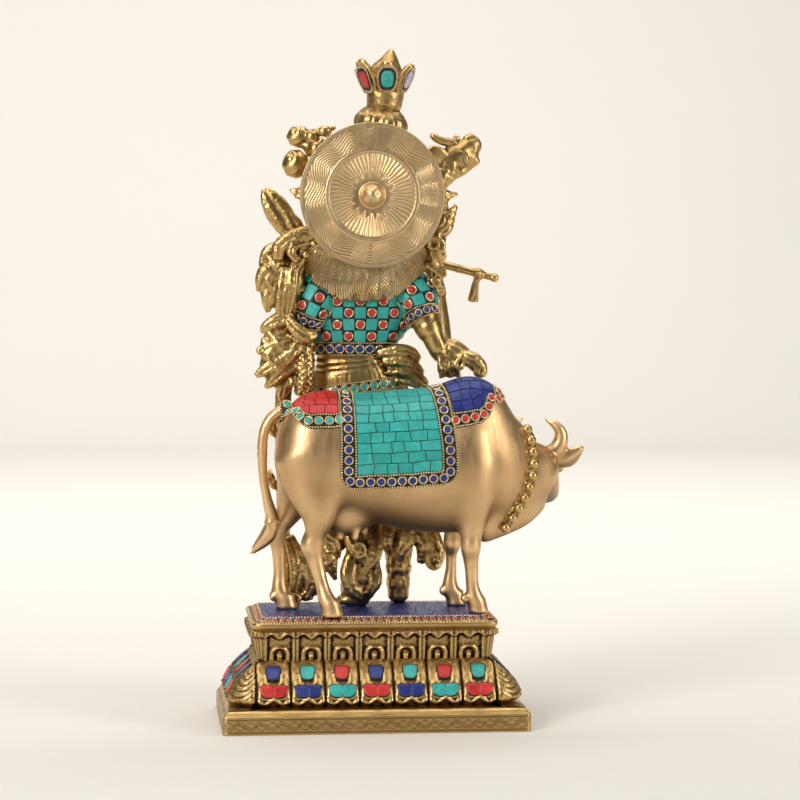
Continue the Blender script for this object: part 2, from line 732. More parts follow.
def cow_cast():
    """The whole cow as one casting."""
    cow = Cast((-108, -72, 90), (190, 88, 296), PITCH["cow"])
    up = (0, 0, 1)
    cow.limb(BODY, up, 0, cap=0.5)
    cow.ball(*HUMP, blend=14)
    cow.soften(5)
    cow.limb(DEWLAP, up, 9)
    cow.limb(HEAD, (0, 0.5, 1), 12)
    for place, sizes, blend in MUSCLES:
        cow.ball(place, sizes, blend)
    for leg in (NEAR_HIND_LEG, FAR_HIND_LEG, NEAR_FRONT_LEG, FAR_FRONT_LEG):
        cow.limb(leg, blend=9)
    cow.soften(4)
    for x, y, z, size in LEG_JOINTS:
        cow.ball((x, y, z), (size, size, size * 1.2), 5)
    for x, y, z in SPURS:
        cow.ball((x - 3, y - 2, z - 1), (3, 3, 4))
        cow.ball((x - 3, y + 3, z - 1), (3, 3, 4))
    cow.limb(TAIL, up, 3)
    cow.limb(TAIL[-5:], up, 1, lambda share, angle, side: 0.8 * np.cos(5 * angle + 9 * share) * (share > 0.2))
    rings = lambda share, angle, s: 0.15 * np.cos(60 * share)
    hollow = lambda share, angle, s: -1.6 * np.exp(-((s / 0.5) ** 2)) * np.sin(angle)
    for side in (lambda row: list(row), far_side):
        cow.limb([side(row) for row in HORN], blend=3, relief=rings)
        rim = [[*side(p), w, 3.2] for p, w in zip(EAR, (5, 9, 4))]
        cow.limb(rim, (0, 1, 0.4), relief=hollow)
    for x, y, length in HOOVES:
        cow.limb([[x - 1, y, 104, length * 0.72, 7.2], [x, y, 91, length, 8.6]], blend=1.5, cap=0.3)
        cow.cut((x + length * 0.25, y - 0.7, 90), (x + length * 1.3, y + 0.7, 102))
    for side in (-1, 1):
        cow.ball(MUZZLE + (side * 5, 5, 3), (3, 3, 2.6))
        eye = (149 + side * 15.5, 30, 207)
        cow.ball(eye, (4, 5, 3.4), 1.5)
        cow.limb([[eye[0], 24, 209, 1.4], [eye[0] + side, 30, 211.5, 1.6], [eye[0], 37, 209, 1.2]], up, 1)
    cow.ball((157, 65, 183), (11, 9, 9), 5)
    cow.limb(MOUTH, up)
    cow.ball((-22, -24, 171), (20, 17, 15), 11)
    for x, y in TEATS:
        cow.limb([[x, y, 162, 3], [x - 1, y, 154, 2.2]], up)
    cow.necklace, _ = cow.land(necklace_path() + NECK_OUT * 16, np.tile(-NECK_OUT, (NECK_POINTS, 1)))
    cow.stand()
    return cow


def garland_cast(path):
    """The cow's necklace: a flat strap with round bells and small beads between them."""
    garland = Cast((96, -66, 152), (152, 6, 256), PITCH["garland"])
    strap = np.pad(path, ((0, 0), (0, 2)), constant_values=2.6)[::4]
    strap[:, 3] = 5.6
    notches = lambda share, angle, side: 0.5 * np.cos(2 * np.pi * share * 44) * (abs(side) > 0.5)
    garland.limb(strap, -NECK_OUT, 0.6, notches)
    bells = spaced(path, 10.4) + NECK_OUT * 2.8
    garland.balls(bells, 4.5)
    garland.balls((bells[1:] + bells[:-1]) / 2, 1.8)
    garland.balls(bells + NECK_OUT * 3, 1.6, 0.5)
    return garland


CASTS = {}


def the_cow():
    """The cow's casting, made once, because the cloths are laid over it too."""
    if "cow" not in CASTS:
        CASTS["cow"] = cow_cast()
    return CASTS["cow"]


# The figure's tables

TORSO = [
    [-5, 40, 240, 38, 20],
    [-5, 40, 262, 43, 22],
    [-8, 38, 286, 37, 20],
    [-11, 34, 309, 31, 17],
    [-7, 31, 330, 38, 20],
    [-2, 29, 350, 48, 21],
    [0, 28, 364, 45, 18],
    [2, 26, 377, 22, 14],
]
CROWN = [
    [5, 23, 438, 25, 28],
    [5, 22, 446, 27, 29],
    [6, 22, 462, 23, 24],
    [8, 21, 480, 18, 18],
    [10, 21, 490, 19, 19],
    [11.5, 21, 498, 22.5, 22.5],
    [12.4, 20.5, 503, 16.5, 16.5],
    [13, 20, 508, 12.8, 12.8],
    [14, 20, 514, 14.5, 14.5],
    [14.6, 20, 520, 15.6, 15.6],
    [14.6, 20, 525, 13.6, 13.6],
    [14.8, 20, 530, 14.8, 14.8],
    [15.4, 20, 536, 16, 16],
    [16.6, 20, 541, 13.4, 13.4],
    [17.6, 20, 545, 10.4, 10.4],
    [18.4, 20, 549.4, 7.6, 7.6],
    [19.2, 20, 554, 4.8, 4.8],
    [19.7, 20, 558.4, 2, 2],
]
RIGHT_ARM = [
    [33, 25, 361, 17, 16],
    [41, 18, 350, 16, 15],
    [46, 12, 336, 13, 12.5],
    [53, 7, 320, 9.5, 9.5],
    [59, 6, 308, 8.5, 8.5],
    [62, 16, 308, 8.5, 8.5],
    [63, 30, 326, 8, 8],
    [62, 44, 352, 6.5, 6.5],
    [60, 52, 372, 6, 6],
]
LEFT_ARM = [
    [-35, 25, 361, 17, 16],
    [-44, 22, 348, 15, 14.5],
    [-50, 24, 334, 12.5, 12.5],
    [-56, 32, 316, 9.5, 9.5],
    [-56, 42, 306, 8.5, 8.5],
    [-42, 52, 318, 8.5, 8.5],
    [-18, 60, 346, 7.5, 7.5],
    [4, 60, 370, 6.5, 6.5],
    [16, 58, 384, 6, 6],
]
LEFT_LEG = [
    [-22, 40, 236, 22, 20],
    [-14, 34, 200, 20, 20],
    [-7, 28, 170, 15, 17],
    [-5, 25, 150, 12.5, 13],
    [-4, 24, 134, 13.5, 13],
    [-6, 23, 118, 15, 14],
    [-8, 23, 106, 14, 13],
    [-9, 23, 98, 11, 11],
]
RIGHT_LEG = [
    [14, 42, 236, 22, 20],
    [20, 46, 205, 20, 20],
    [25, 46, 178, 16, 17],
    [28, 43, 150, 12.5, 13],
    [28, 41, 128, 10.5, 11],
    [28, 41, 112, 9.5, 9.5],
    [28, 41, 98, 9, 9],
]
DRAPES = [
    [[10, 22, 305, 4, 5], [24, 18, 308, 5, 5], [36, 19, 306, 5, 5], [43, 21, 300, 3, 4]],
    [[14, 21, 298, 4, 5], [28, 18, 299, 5, 5], [39, 20, 295, 4.4, 5], [46, 22, 289, 2.4, 3]],
    [[18, 21, 291, 4, 4], [32, 19, 290, 5, 5], [43, 21, 285, 4.4, 4], [51, 23, 279, 2, 2]],
    [[24, 22, 284, 4, 4], [38, 20, 281, 4.6, 4.6], [48, 22, 276, 4, 4], [55, 24, 270, 2, 2]],
    [[30, 38, 168, 8, 8], [34, 33, 152, 9, 8], [29, 32, 138, 7, 6], [23, 34, 128, 3, 3]],
    [[38, 40, 172, 8, 8], [46, 35, 154, 9, 8], [50, 33, 140, 8, 7], [46, 34, 127, 3, 3]],
    [[48, 40, 164, 8, 8], [56, 37, 148, 8, 8], [61, 35, 134, 6.5, 6], [60, 35, 124, 4, 4]],
    [[20, 38, 162, 6, 6], [17, 34, 146, 6.5, 6], [21, 35, 132, 2, 2]],
    [[-16, 24, 168, 7, 7], [-14, 16, 152, 8, 7], [-8, 12, 138, 7, 6], [2, 13, 128, 3, 3]],
    [[4, 24, 164, 7, 7], [6, 15, 148, 7, 6], [4, 11, 134, 6, 5], [-4, 10, 122, 2.5, 3]],
    [[-14, 16, 134, 6, 6], [-17, 12, 120, 7, 6], [-14, 11, 108, 6, 5], [-6, 12, 101, 3, 3]],
    [[4, 16, 128, 6, 6], [5, 11, 114, 6.5, 6], [0, 11, 104, 4, 4]],
]
SCARF = [
    [[58, 8, 309, 6, 6], [68, 4, 308, 7, 6], [78, 3, 302, 6, 5]],
    [[72, 3, 303, 5, 5], [83, 0, 301, 7, 6], [91, 0, 295, 7, 6], [95, 1, 287, 4, 4]],
    [[64, 8, 313, 4, 4], [72, 6, 312, 5, 4], [82, 6, 307, 3, 3]],
]
FLUTE = (np.array([-14, 57.5, 399.9]), np.array([112, 46, 367.4]))
HAIR_ROOT = (2, 6, 408)
HAIR_TOP = 426  # the height that the fine strands fan out from
HAIR_EDGE = [
    [-57, 19, 380, 0],
    [-51, 14, 374, 0],
    [-44, 11, 369, 1],
    [-38, 9, 363, 0],
    [-31, 7, 359, 1],
    [-24, 6, 355, 1],
    [-16, 5, 352, 0],
    [-6, 5, 351, 0],
    [7, 5, 352, 0],
    [16, 5, 354, 1],
    [23, 6, 358, 1],
    [30, 8, 363, 1],
    [37, 10, 369, 0],
    [43, 13, 376, 1],
    [49, 17, 384, 0],
]
FACE = (5, 24, 418)
# Each lip's half width, then the way out, the height and the size of its corners and of its middle
LIPS = [(6, (-3.6, -14, 1.2), (-1.4, -15, 2.2)), (4, (-3.4, -17.6, 1), (-2, -18, 1.9))]
SASH = [
    [-40, 40, 282, 4, 5],
    [-30, 56, 274, 4, 5],
    [-4, 64, 266, 4, 5],
    [24, 56, 272, 4, 5],
    [34, 42, 284, 4, 5],
]
# The heel and the toes of each foot
FEET = [([-8, 22, 99], [-24, 21, 97]), ([28, 42, 98], [31, 60, 96])]
# The middle of each hand, and the side that its finger tips lean to
WRISTS = [((22, 57.5, 390.6), -1), ((56, 53, 381.8), 1)]
PLEATS = 9  # folds down the front of the skirt


# The figure


def waist_folds(share, angle, side):
    """The bands round the waist, the fringe of loops below them and the folds of the cloth over the hips."""
    height = np.interp(share, np.linspace(0, 1, len(TORSO)), [row[2] for row in TORSO])
    bands = 0.8 * np.cos(2 * np.pi * (height - 302) / 4.1) * ((height > 290) & (height < 305))
    fringe = 0.75 * np.abs(np.cos(27 * angle)) * ((height > 277) & (height <= 290))
    hem = 1.0 * np.exp(-(((height - 277) / 1.5) ** 2))
    cloth = 0.9 * np.cos(11 * angle + 0.06 * height) * (height <= 276)
    return bands + fringe + hem + cloth


def leg_folds(turns, twist):
    """Folds that wrap a leg down to its bare ankle, with a beaded anklet."""

    def relief(share, angle, side):
        folds = 0.9 * np.cos(turns * angle + twist * share)
        folds = folds + 0.4 * np.cos(2 * turns * angle - 2 * twist * share)
        hem = 1.2 * np.exp(-(((share - 0.72) / 0.02) ** 2)) * (1 + 0.5 * np.cos(9 * angle))
        anklet = (np.abs(share - 0.86) < 0.035) * (0.6 + 0.5 * np.cos(12 * angle))
        return folds * np.clip((0.74 - share) * 8, 0, 1) + hem + anklet

    return relief


def strands(count, amount=0.5):
    """Grooves along a lock of hair or a fall of cloth, with a slow wave."""
    return lambda share, angle, side: amount * np.cos(count * angle + 2.2 * np.sin(7 * share))


def bangles(share, angle, side):
    """Bangles at a wrist and an armlet above the elbow."""
    wrist = (np.abs(share - 0.93) < 0.05) * (0.7 + 0.4 * np.cos(70 * share))
    return wrist + (np.abs(share - 0.33) < 0.02) * 0.8


def figure_cast():
    """The figure from his feet to his neck, with his arms, skirt and scarf."""
    man = Cast((-66, -16, 90), (106, 76, 384), PITCH["figure"])
    man.limb(TORSO, blend=0, relief=waist_folds)
    man.limb([[2, 25, 370, 13, 13], [4, 25, 392, 12, 12]], blend=6)
    man.limb(RIGHT_ARM, blend=5, relief=bangles)
    man.limb(LEFT_ARM, blend=5, relief=bangles)
    man.limb(LEFT_LEG, blend=6, relief=leg_folds(7, 9))
    man.limb(RIGHT_LEG, blend=6, relief=leg_folds(6, -11))
    for rows in DRAPES:
        man.lobe(rows, hatch=2.6, blend=1.6)
    man.curl((58, 31, 127), 7.5, 1.0, 1.2, 3, 2)
    man.curl((-9, 9, 142), 7, 4.6, 1.1, 2.6, 1.5)
    man.curl((34, 29, 146), 6.5, 2.2, -1.1, 2.6, 1.5)
    for side in (2 * k / (PLEATS - 1) - 1 for k in range(PLEATS)):
        x = -5 + side * 36
        y = 60 - 16 * side * side
        rows = [[x * 0.95, y - 5, 274, 4], [x * 0.92, y, 232, 4.4], [x * 0.7 + 4, y - 2, 188, 4]]
        man.limb(rows, relief=strands(3, 0.4))
    man.limb(SASH, (0, 0, 1), 2, strands(5, 0.6))
    for heel, toe in FEET:
        heel, toe = np.array(heel, float), np.array(toe, float)
        man.limb([[*heel, 7, 6], [*((heel + toe) / 2), 7.5, 5.5], [*toe, 6.5, 3.6]], (0, 0, 1), 3)
        way = unit(toe - heel)
        cross = np.cross(way, (0, 0, 1))
        for k in range(5):
            tip = toe + way * (4 - abs(k - 1) * 0.8) + cross * (k - 2) * 2.9
            man.ball(tip, (2, 2.4, 2), 1)
    for (x, y, z), side in WRISTS:
        man.ball((x, y + 1, z - 6), (9, 6, 6), 3)
        for at in (x + place * 4.2 for place in (-1.5, -0.5, 0.5, 1.5)):
            low = z - 0.26 * (at - x)
            knuckle, tip = [at, y + 7.4, low + 1, 2.2], [at + side, y + 3, low + 6.4, 1.9]
            man.limb([[at, y + 4, low - 5, 2.3], knuckle, tip], blend=1)
    scarf_cast(man)
    man.roughen((-66, -16, 90), (106, 76, 176), 0.3, 7.4)
    man.roughen((56, -16, 278), (106, 16, 318), 0.3, 4.4)
    man.roughen((10, -4, 262), (66, 30, 314), 0.3, 4.4)
    necklaces(man)
    man.stand()
    return man


def scarf_cast(man):
    """The scarf looped at the elbow: two lobes with a pleated knot between them."""
    for rows in SCARF:
        man.lobe(rows, (0, 1, 0.3), 2.2)
    for k in range(5):
        x = 59 + 3.6 * k
        rows = [[x + 1, 3, 306, 2.2, 4], [x, 1, 296, 2.5, 4], [x + 1.4, 3, 286 + k % 2, 2, 3]]
        man.limb(rows, blend=0.8, relief=strands(3, 0.3))
    man.curl((91, -3, 291), 6, 1.6, -1.1, 2.4, 1.5)
    man.curl((76, -2, 296), 6, 0.6, 1.0, 2.4, 1.5)


def necklaces(man):
    """Beaded necklaces and a garland over the chest, plain and generic."""
    for drop, wide, size in ((10, 20, 1.7), (24, 26, 2.1), (58, 30, 2.4)):
        t = np.linspace(-1, 1, 60)
        x = 1 + wide * np.sin(t * 1.45)
        z = 378 - drop * np.cos(t * 1.5) - 4
        start = np.stack([x, np.full_like(x, 74.0), z], axis=-1)
        path, _ = man.land(start, np.tile((0.0, -1.0, 0.0), (60, 1)))
        man.balls(spaced(path[4:-4], size * 2.1), size, 0.5)


def ear_bowl(x, y, z):
    """The hollow of an ear."""
    return -1.2 * np.exp(-(y * y + z * z) * 5)


def earring_rays(x, y, z):
    """The rays of a round earring."""
    return 0.6 * np.cos(9 * np.arctan2(z, y))


def head_cast():
    """Head, face, hair, crown and finial."""
    head = Cast((-62, -12, 344), (66, 56, 562), PITCH["head"])
    x, y, z = FACE
    head.ball(FACE, (23, 26, 34), 0)
    front = y + 26
    head.limb([[x, front - 1, z + 6, 2.2, 2.4], [x, front + 2.2, z - 6, 3.2, 3]])
    head.balls([(x - 3, front + 0.6, z - 7), (x + 3, front + 0.6, z - 7)], 2, 1)
    for wide, corner, middle in LIPS:
        places = ((-wide, corner), (0, middle), (wide, corner))
        head.limb([[x + across, front + out, z + up, size] for across, (out, up, size) in places], blend=1)
    head.ball((x, front - 6, z - 26), (8, 6, 6), 4)
    for side in (-1, 1):
        at, out = x + side * 9, front - 4.4
        head.ball((at, out, z + 1), (5, 3, 3), 1.5)
        lid = [[at - 5, out, z + 0.4, 0.8], [at, out + 2.8, z - 0.6, 1], [at + 5, out - 1, z + 0.4, 0.8]]
        head.limb(lid, blend=0.6)
        brow = [(3, -1, 7, 0.9), (10, -3, 10, 1.1), (17, -8, 7, 0.8)]
        head.limb([[x + side * a, front + b, z + c, size] for a, b, c, size in brow], blend=0.8)
        head.ball((x + side * 23, y, z - 2), (4, 7, 10), 2, ear_bowl)
        head.ball((x + side * 27, y + 2, z - 18), (4, 6, 7), 1, earring_rays)
    for side in (-1, 1):
        for step in range(5):
            place = (x + side * (25 + step % 2 * 3), y - 4 - step, 432 - step * 10)
            head.curl(place, 5, 1 + step, side * 1.1, 2.4, 2, 2, 1)
    crown_cast(head)
    return head


def hair_cast():
    """The mantle of hair below the disc: locks that fan out over the shoulders, some with a curl."""
    hair = Cast((-66, -14, 340), (60, 34, 426), PITCH["hair"])
    hair.ball((-2, 13, 391), (50, 16, 43), 0)
    root = np.array(HAIR_ROOT, float)
    for x, y, z, curled in HAIR_EDGE:
        end = np.array([x, y, z], float)
        start = root + (x * 0.42, 0, 0)
        middle = start * 0.42 + end * 0.58 - (0, 3.5, 0)
        sway = 1.6 * math.sin(1.7 * x)
        rows = [[*start, 5.5, 6], [*middle, 5.6, 6], [end[0] + sway, end[1], end[2], 4.2, 4]]
        hair.limb(rows, blend=6, relief=strands(7, 0.35), step=2.5)
        if curled:
            side = 1 if x > 0 else -1
            hair.curl((x - side, y - 3, z + 1), 3.9, 4.7, side * 1.0, 1.9, 1, 2, 0.8)
    return hair


def hair_flow(points):
    """A number that rises across the strands of hair, so that the material can draw them."""
    x, down = points[:, 0] - HAIR_ROOT[0], HAIR_TOP - points[:, 2]
    turn, reach = np.arctan2(x, down), np.hypot(x, down)
    return 230 * (turn + 0.03 * np.sin(0.24 * reach + 6 * turn) + 0.004 * np.sin(0.5 * reach + 17 * turn))


CUP_PETAL = [(12.6, 523, 6.5, 3.4), (15.4, 530, 8.6, 3.6), (19, 538, 9.4, 3.6), (24, 546.5, 4.2, 2.8)]
CUP_STONES = "turquoise lilac turquoise coral lilac coral".split()
CUP_STONE = [(-2.6, 7), (2.6, 7), (5, 3.6), (4.8, -3.6), (2.8, -7), (-2.8, -7), (-4.8, -3.6), (-5, 3.6)]
CROWN_LEAVES = 10


def crown_bands(share, angle, side):
    """The rings, flutes and bulb of the crown."""
    rings = 0.5 * np.cos(2 * np.pi * share * 15) * (share < 0.5)
    flutes = 0.6 * np.cos(16 * angle) * ((share > 0.05) & (share < 0.3))
    bulb = 0.1 * np.cos(9 * angle + 3 * np.sin(40 * share)) * (share > 0.52) * (share < 0.75)
    return rings + flutes + bulb


def crown_cast(head):
    """The tall crown with its bands, its bulb, its cup of six petals and its tip."""
    head.limb(CROWN, relief=crown_bands, step=2.2)
    for angle in 2 * np.pi * np.arange(CROWN_LEAVES) / CROWN_LEAVES:
        c, s = np.cos(angle), np.sin(angle)
        base = np.array([5 + 26 * c, 22 + 28 * s, 441])
        tip = np.array([5 + 24 * c, 22 + 25 * s, 462])
        head.leaf(base, (base + tip) / 2 + (0, 0, 1), tip, 7, 2.4, (c, s, 0.2))
    for out, core in cup_ways():
        rows = [
            [*(core + out * reach + (0, 0, z - 0.1 * reach * out[0])), wide, thick]
            for reach, z, wide, thick in CUP_PETAL
        ]
        head.limb(rows, out + (0, 0, -0.4), 1.5)
    head.roughen((-20, -8, 494), (60, 50, 562), 0.22, 4.2)


def cup_ways():
    """The way out and the middle of each of the cup's six petals, from the one at the back round by +X."""
    turns = [math.radians(60 * k - 90) for k in range(6)]
    return [(np.array([math.cos(turn), math.sin(turn), 0.0]), np.array([14.6, 20.0, 0.0])) for turn in turns]


def cup_stones():
    """A beaded stone in each petal of the cup."""
    gem = slab_pattern("cup_gem", CUP_STONE, 0.0, 1.2)
    bedding = slab_pattern("cup_bed", CUP_STONE, 2.3, 0.6)
    edge = spaced(between(np.array([[*p, 0.0] for p in [*CUP_STONE, CUP_STONE[0]]]), 40), 0.6) * 1.5
    rows = []
    loops = []
    for (out, core), kind in zip(cup_ways(), CUP_STONES):
        facing = unit(out + (0, 0, -0.44))
        up = unit(np.array([0, 0, 1.0]) - facing * facing[2])
        across = np.cross(up, facing)
        place = core + out * 17.9 + (0, 0, 534.5) + facing * 3.2
        rows.append((kind, place, facing, up, (1.0, 1.0, 1.0)))
        loops.append(place + across * edge[:, :1] + up * edge[:, 1:2] + facing * 0.5)
    lay_mixed("cup", gem, bedding, rows, np.random.default_rng(SEED + 3))
    bead_rows("cup_beads", loops, 0.75, 1.6)


STEM = [
    [-64, 26, 100, 8],
    [-70, 28, 140, 6],
    [-71, 27, 200, 5.4],
    [-71, 25, 260, 6],
    [-66, 21, 320, 7],
    [-66, 18, 360, 8],
    [-56, 12, 392, 8],
    [-46, 6, 410, 6],
]
# The knobbly masses of the column, a place and its half sizes
MASSES = [
    ((-65, 20, 366), (14, 10, 28)),
    ((-66, 19, 306), (13, 10, 26)),
    ((-78, 14, 368), (13, 8, 26)),
    ((-76, 13, 304), (15, 8, 26)),
    ((-56, 23, 108), (15, 9, 12)),
]
ROOT = [[-56, 24, 112, 9, 7], [-42, 24, 126, 9, 7], [-28, 25, 144, 9, 8], [-20, 28, 166, 9, 9]]


COLUMN_LOBES = [
    [
        [-60, 13, 400, 5, 4],
        [-68, 14, 412, 10, 4.6],
        [-76, 15, 425, 11, 4.6],
        [-83, 16, 436, 7.5, 4],
        [-86, 17, 442, 3, 2],
    ],
    [[-54, 14, 402, 4, 3], [-62, 13, 413, 7, 4], [-66, 12, 423, 2.5, 2]],
    [
        [-42, 6, 404, 4, 4],
        [-53, 5, 406, 5.5, 5],
        [-65, 5, 402, 6, 5],
        [-74, 6, 395, 6, 5],
        [-76, 7, 385, 4.5, 4],
    ],
    [[-50, 6, 399, 4, 4], [-60, 4, 397, 4, 4], [-65, 3, 390, 4, 4], [-60, 3, 384, 3.4, 3.4]],
    [[-72, 13, 393, 6, 5], [-82, 14, 389, 7.5, 5], [-90, 14, 379, 2, 2]],
    [[-74, 12, 380, 6, 5], [-86, 12, 371, 8, 6], [-92, 13, 358, 2, 2]],
    [[-72, 13, 366, 6, 5], [-83, 13, 354, 6.5, 5], [-84, 14, 340, 2, 2]],
    [[-70, 8, 376, 4, 4], [-72, 7, 360, 6, 5], [-74, 9, 342, 4, 4], [-72, 10, 334, 1.5, 1.5]],
    [[-62, 8, 380, 4, 4], [-64, 6, 364, 5, 5], [-66, 8, 346, 4, 4], [-68, 9, 338, 1.5, 1.5]],
    [[-52, 8, 392, 4, 4], [-58, 7, 382, 4.4, 4], [-61, 8, 374, 2, 2]],
    [[-64, 12, 336, 5, 5], [-76, 11, 333, 6.5, 5], [-86, 12, 328, 4, 4], [-89, 12, 323, 1.5, 1.5]],
    [[-68, 8, 334, 4, 4], [-60, 6, 325, 6, 5], [-51, 6, 320, 6, 5], [-44, 8, 323, 2.5, 2.5]],
    [[-62, 12, 316, 6, 5], [-75, 10, 313, 7, 5.5], [-86, 11, 309, 5, 4], [-91, 11, 308, 3.5, 3.5]],
    [[-58, 10, 320, 4, 4], [-62, 8, 308, 5.5, 5], [-73, 9, 300, 5, 4.5], [-84, 10, 298, 2, 2]],
    [[-62, 10, 303, 6, 5], [-77, 9, 297, 6.5, 5], [-88, 10, 291, 5, 4], [-94, 10, 287, 2, 2]],
    [[-63, 11, 297, 6, 5], [-74, 10, 288, 6, 5], [-83, 11, 280, 3.4, 3], [-86, 12, 277, 1.5, 1.5]],
    [[-66, 20, 150, 5, 5], [-61, 17, 136, 7, 6], [-59, 16, 120, 7, 6], [-63, 17, 104, 4, 4]],
    [[-56, 18, 140, 5, 5], [-50, 15, 126, 7, 6], [-48, 15, 112, 6, 5], [-54, 16, 100, 3, 3]],
    [[-50, 18, 118, 5, 5], [-40, 16, 108, 6, 5], [-31, 17, 101, 2, 2]],
    [[-44, 20, 153, 6, 6], [-34, 17, 151, 7, 6], [-27, 17, 143, 5, 5], [-25, 18, 134, 2, 2]],
    [[-40, 20, 146, 6, 6], [-33, 16, 134, 7, 6], [-30, 17, 122, 4, 4], [-27, 18, 115, 1.5, 1.5]],
    [[-36, 20, 142, 5, 5], [-39, 17, 128, 6, 5], [-43, 17, 115, 3, 3]],
]


def foliage_cast():
    """The leafy column at the photo's left: a stem, acanthus masses, curls and leaves."""
    low, high = (-106, -14, 90), (-8, 48, 446)
    bush = Cast(low, high, PITCH["foliage"])
    bush.limb(STEM, blend=0, relief=strands(4, 0.7))
    knobbly = lambda x, y, z: 1.0 * np.cos(6 * x + 3) * np.cos(7 * z) + 0.4 * np.cos(15 * z + 9 * x)
    for place, sizes in MASSES:
        bush.ball(place, sizes, 2, knobbly)
    for rows in COLUMN_LOBES:
        bush.lobe(rows)
    bush.balls(spaced([(-68, 5, 321), (-60, 4, 316), (-47, 6, 313)], 3.4), 1.7)
    bush.balls([(-46, 4, 397), (-44, 5, 390), (-53, 2, 388), (-91, 9, 308)], 3.2, 1)
    grit = lambda share, angle, side: 0.8 * np.cos(7 * angle) * np.cos(60 * share)
    bush.limb([[-54, 14, 314, 7], [-53, 13, 296, 8], [-54, 14, 274, 8]], blend=1.5, relief=grit)
    bush.leaf((-61, 14, 294), (-70, 12, 281), (-74, 14, 266), 8, 3.2, ribs=3)
    bush.limb(ROOT, relief=lambda share, angle, side: 0.9 * np.cos(2 * np.pi * share * 8) * np.cos(3 * angle))
    for x, z, size in [(-63, 100, 7), (-46, 119, 6), (-36, 134, 6), (-58, 128, 5)]:
        bush.curl((x, 13, z), size, 0.5 * size, 1.0, size * 0.42, 2)
    for height in range(124, 256, 22):
        side = 1 if (height // 22) % 2 else -1
        stem = np.array([-71 + side * 4, 24, height], float)
        bush.leaf(stem, stem + (side * 6, -2, 8), stem + (side * 7, -2, 19), 4, 2.4, ribs=3)
    bush.roughen(low, high, 0.24, 4.8)
    bush.stand()
    return bush


ARCH = {"centre": (1, 3, 437), "radius": 52, "thick": 5.2, "from": -0.95, "to": 3.95}
BUDS = [
    ((-58, 15, 486), (10, 8, 9.5)),
    ((-61, 10, 463), (11, 10, 12)),
    ((-47, 9, 485), (6, 5, 7)),
    ((-37, 6, 490), (6, 5, 5)),
    ((-44, 4, 475), (6, 5, 7)),
    ((62, 9, 414), (9, 7, 11)),
]
CALF_HEAD = [
    [
        [64, 12, 462, 10, 9],
        [74, 14, 470, 11.5, 10],
        [82, 16, 476, 9, 8],
        [88, 17, 479, 8.4, 7.5],
        [91, 18, 480, 7, 6.5],
    ],
    [[66, 12, 455, 6, 6], [76, 14, 457, 5, 5], [85, 16, 462, 3.8, 4], [91, 16, 465.5, 3, 3.4]],
    [[72, 12, 481, 4, 4], [64, 10, 481.5, 3.6, 3.6], [57, 9, 484, 3.4, 3.4], [53, 9, 487, 2.6, 2.6]],
    [[82, 15, 484, 3, 4], [87, 16, 486.5, 3, 4]],
]
CALF_EAR = [[66, 8, 463, 6, 3], [60, 5, 469, 7.5, 3.4], [54, 3, 474, 5.5, 3], [51, 2, 477, 2, 1.6]]


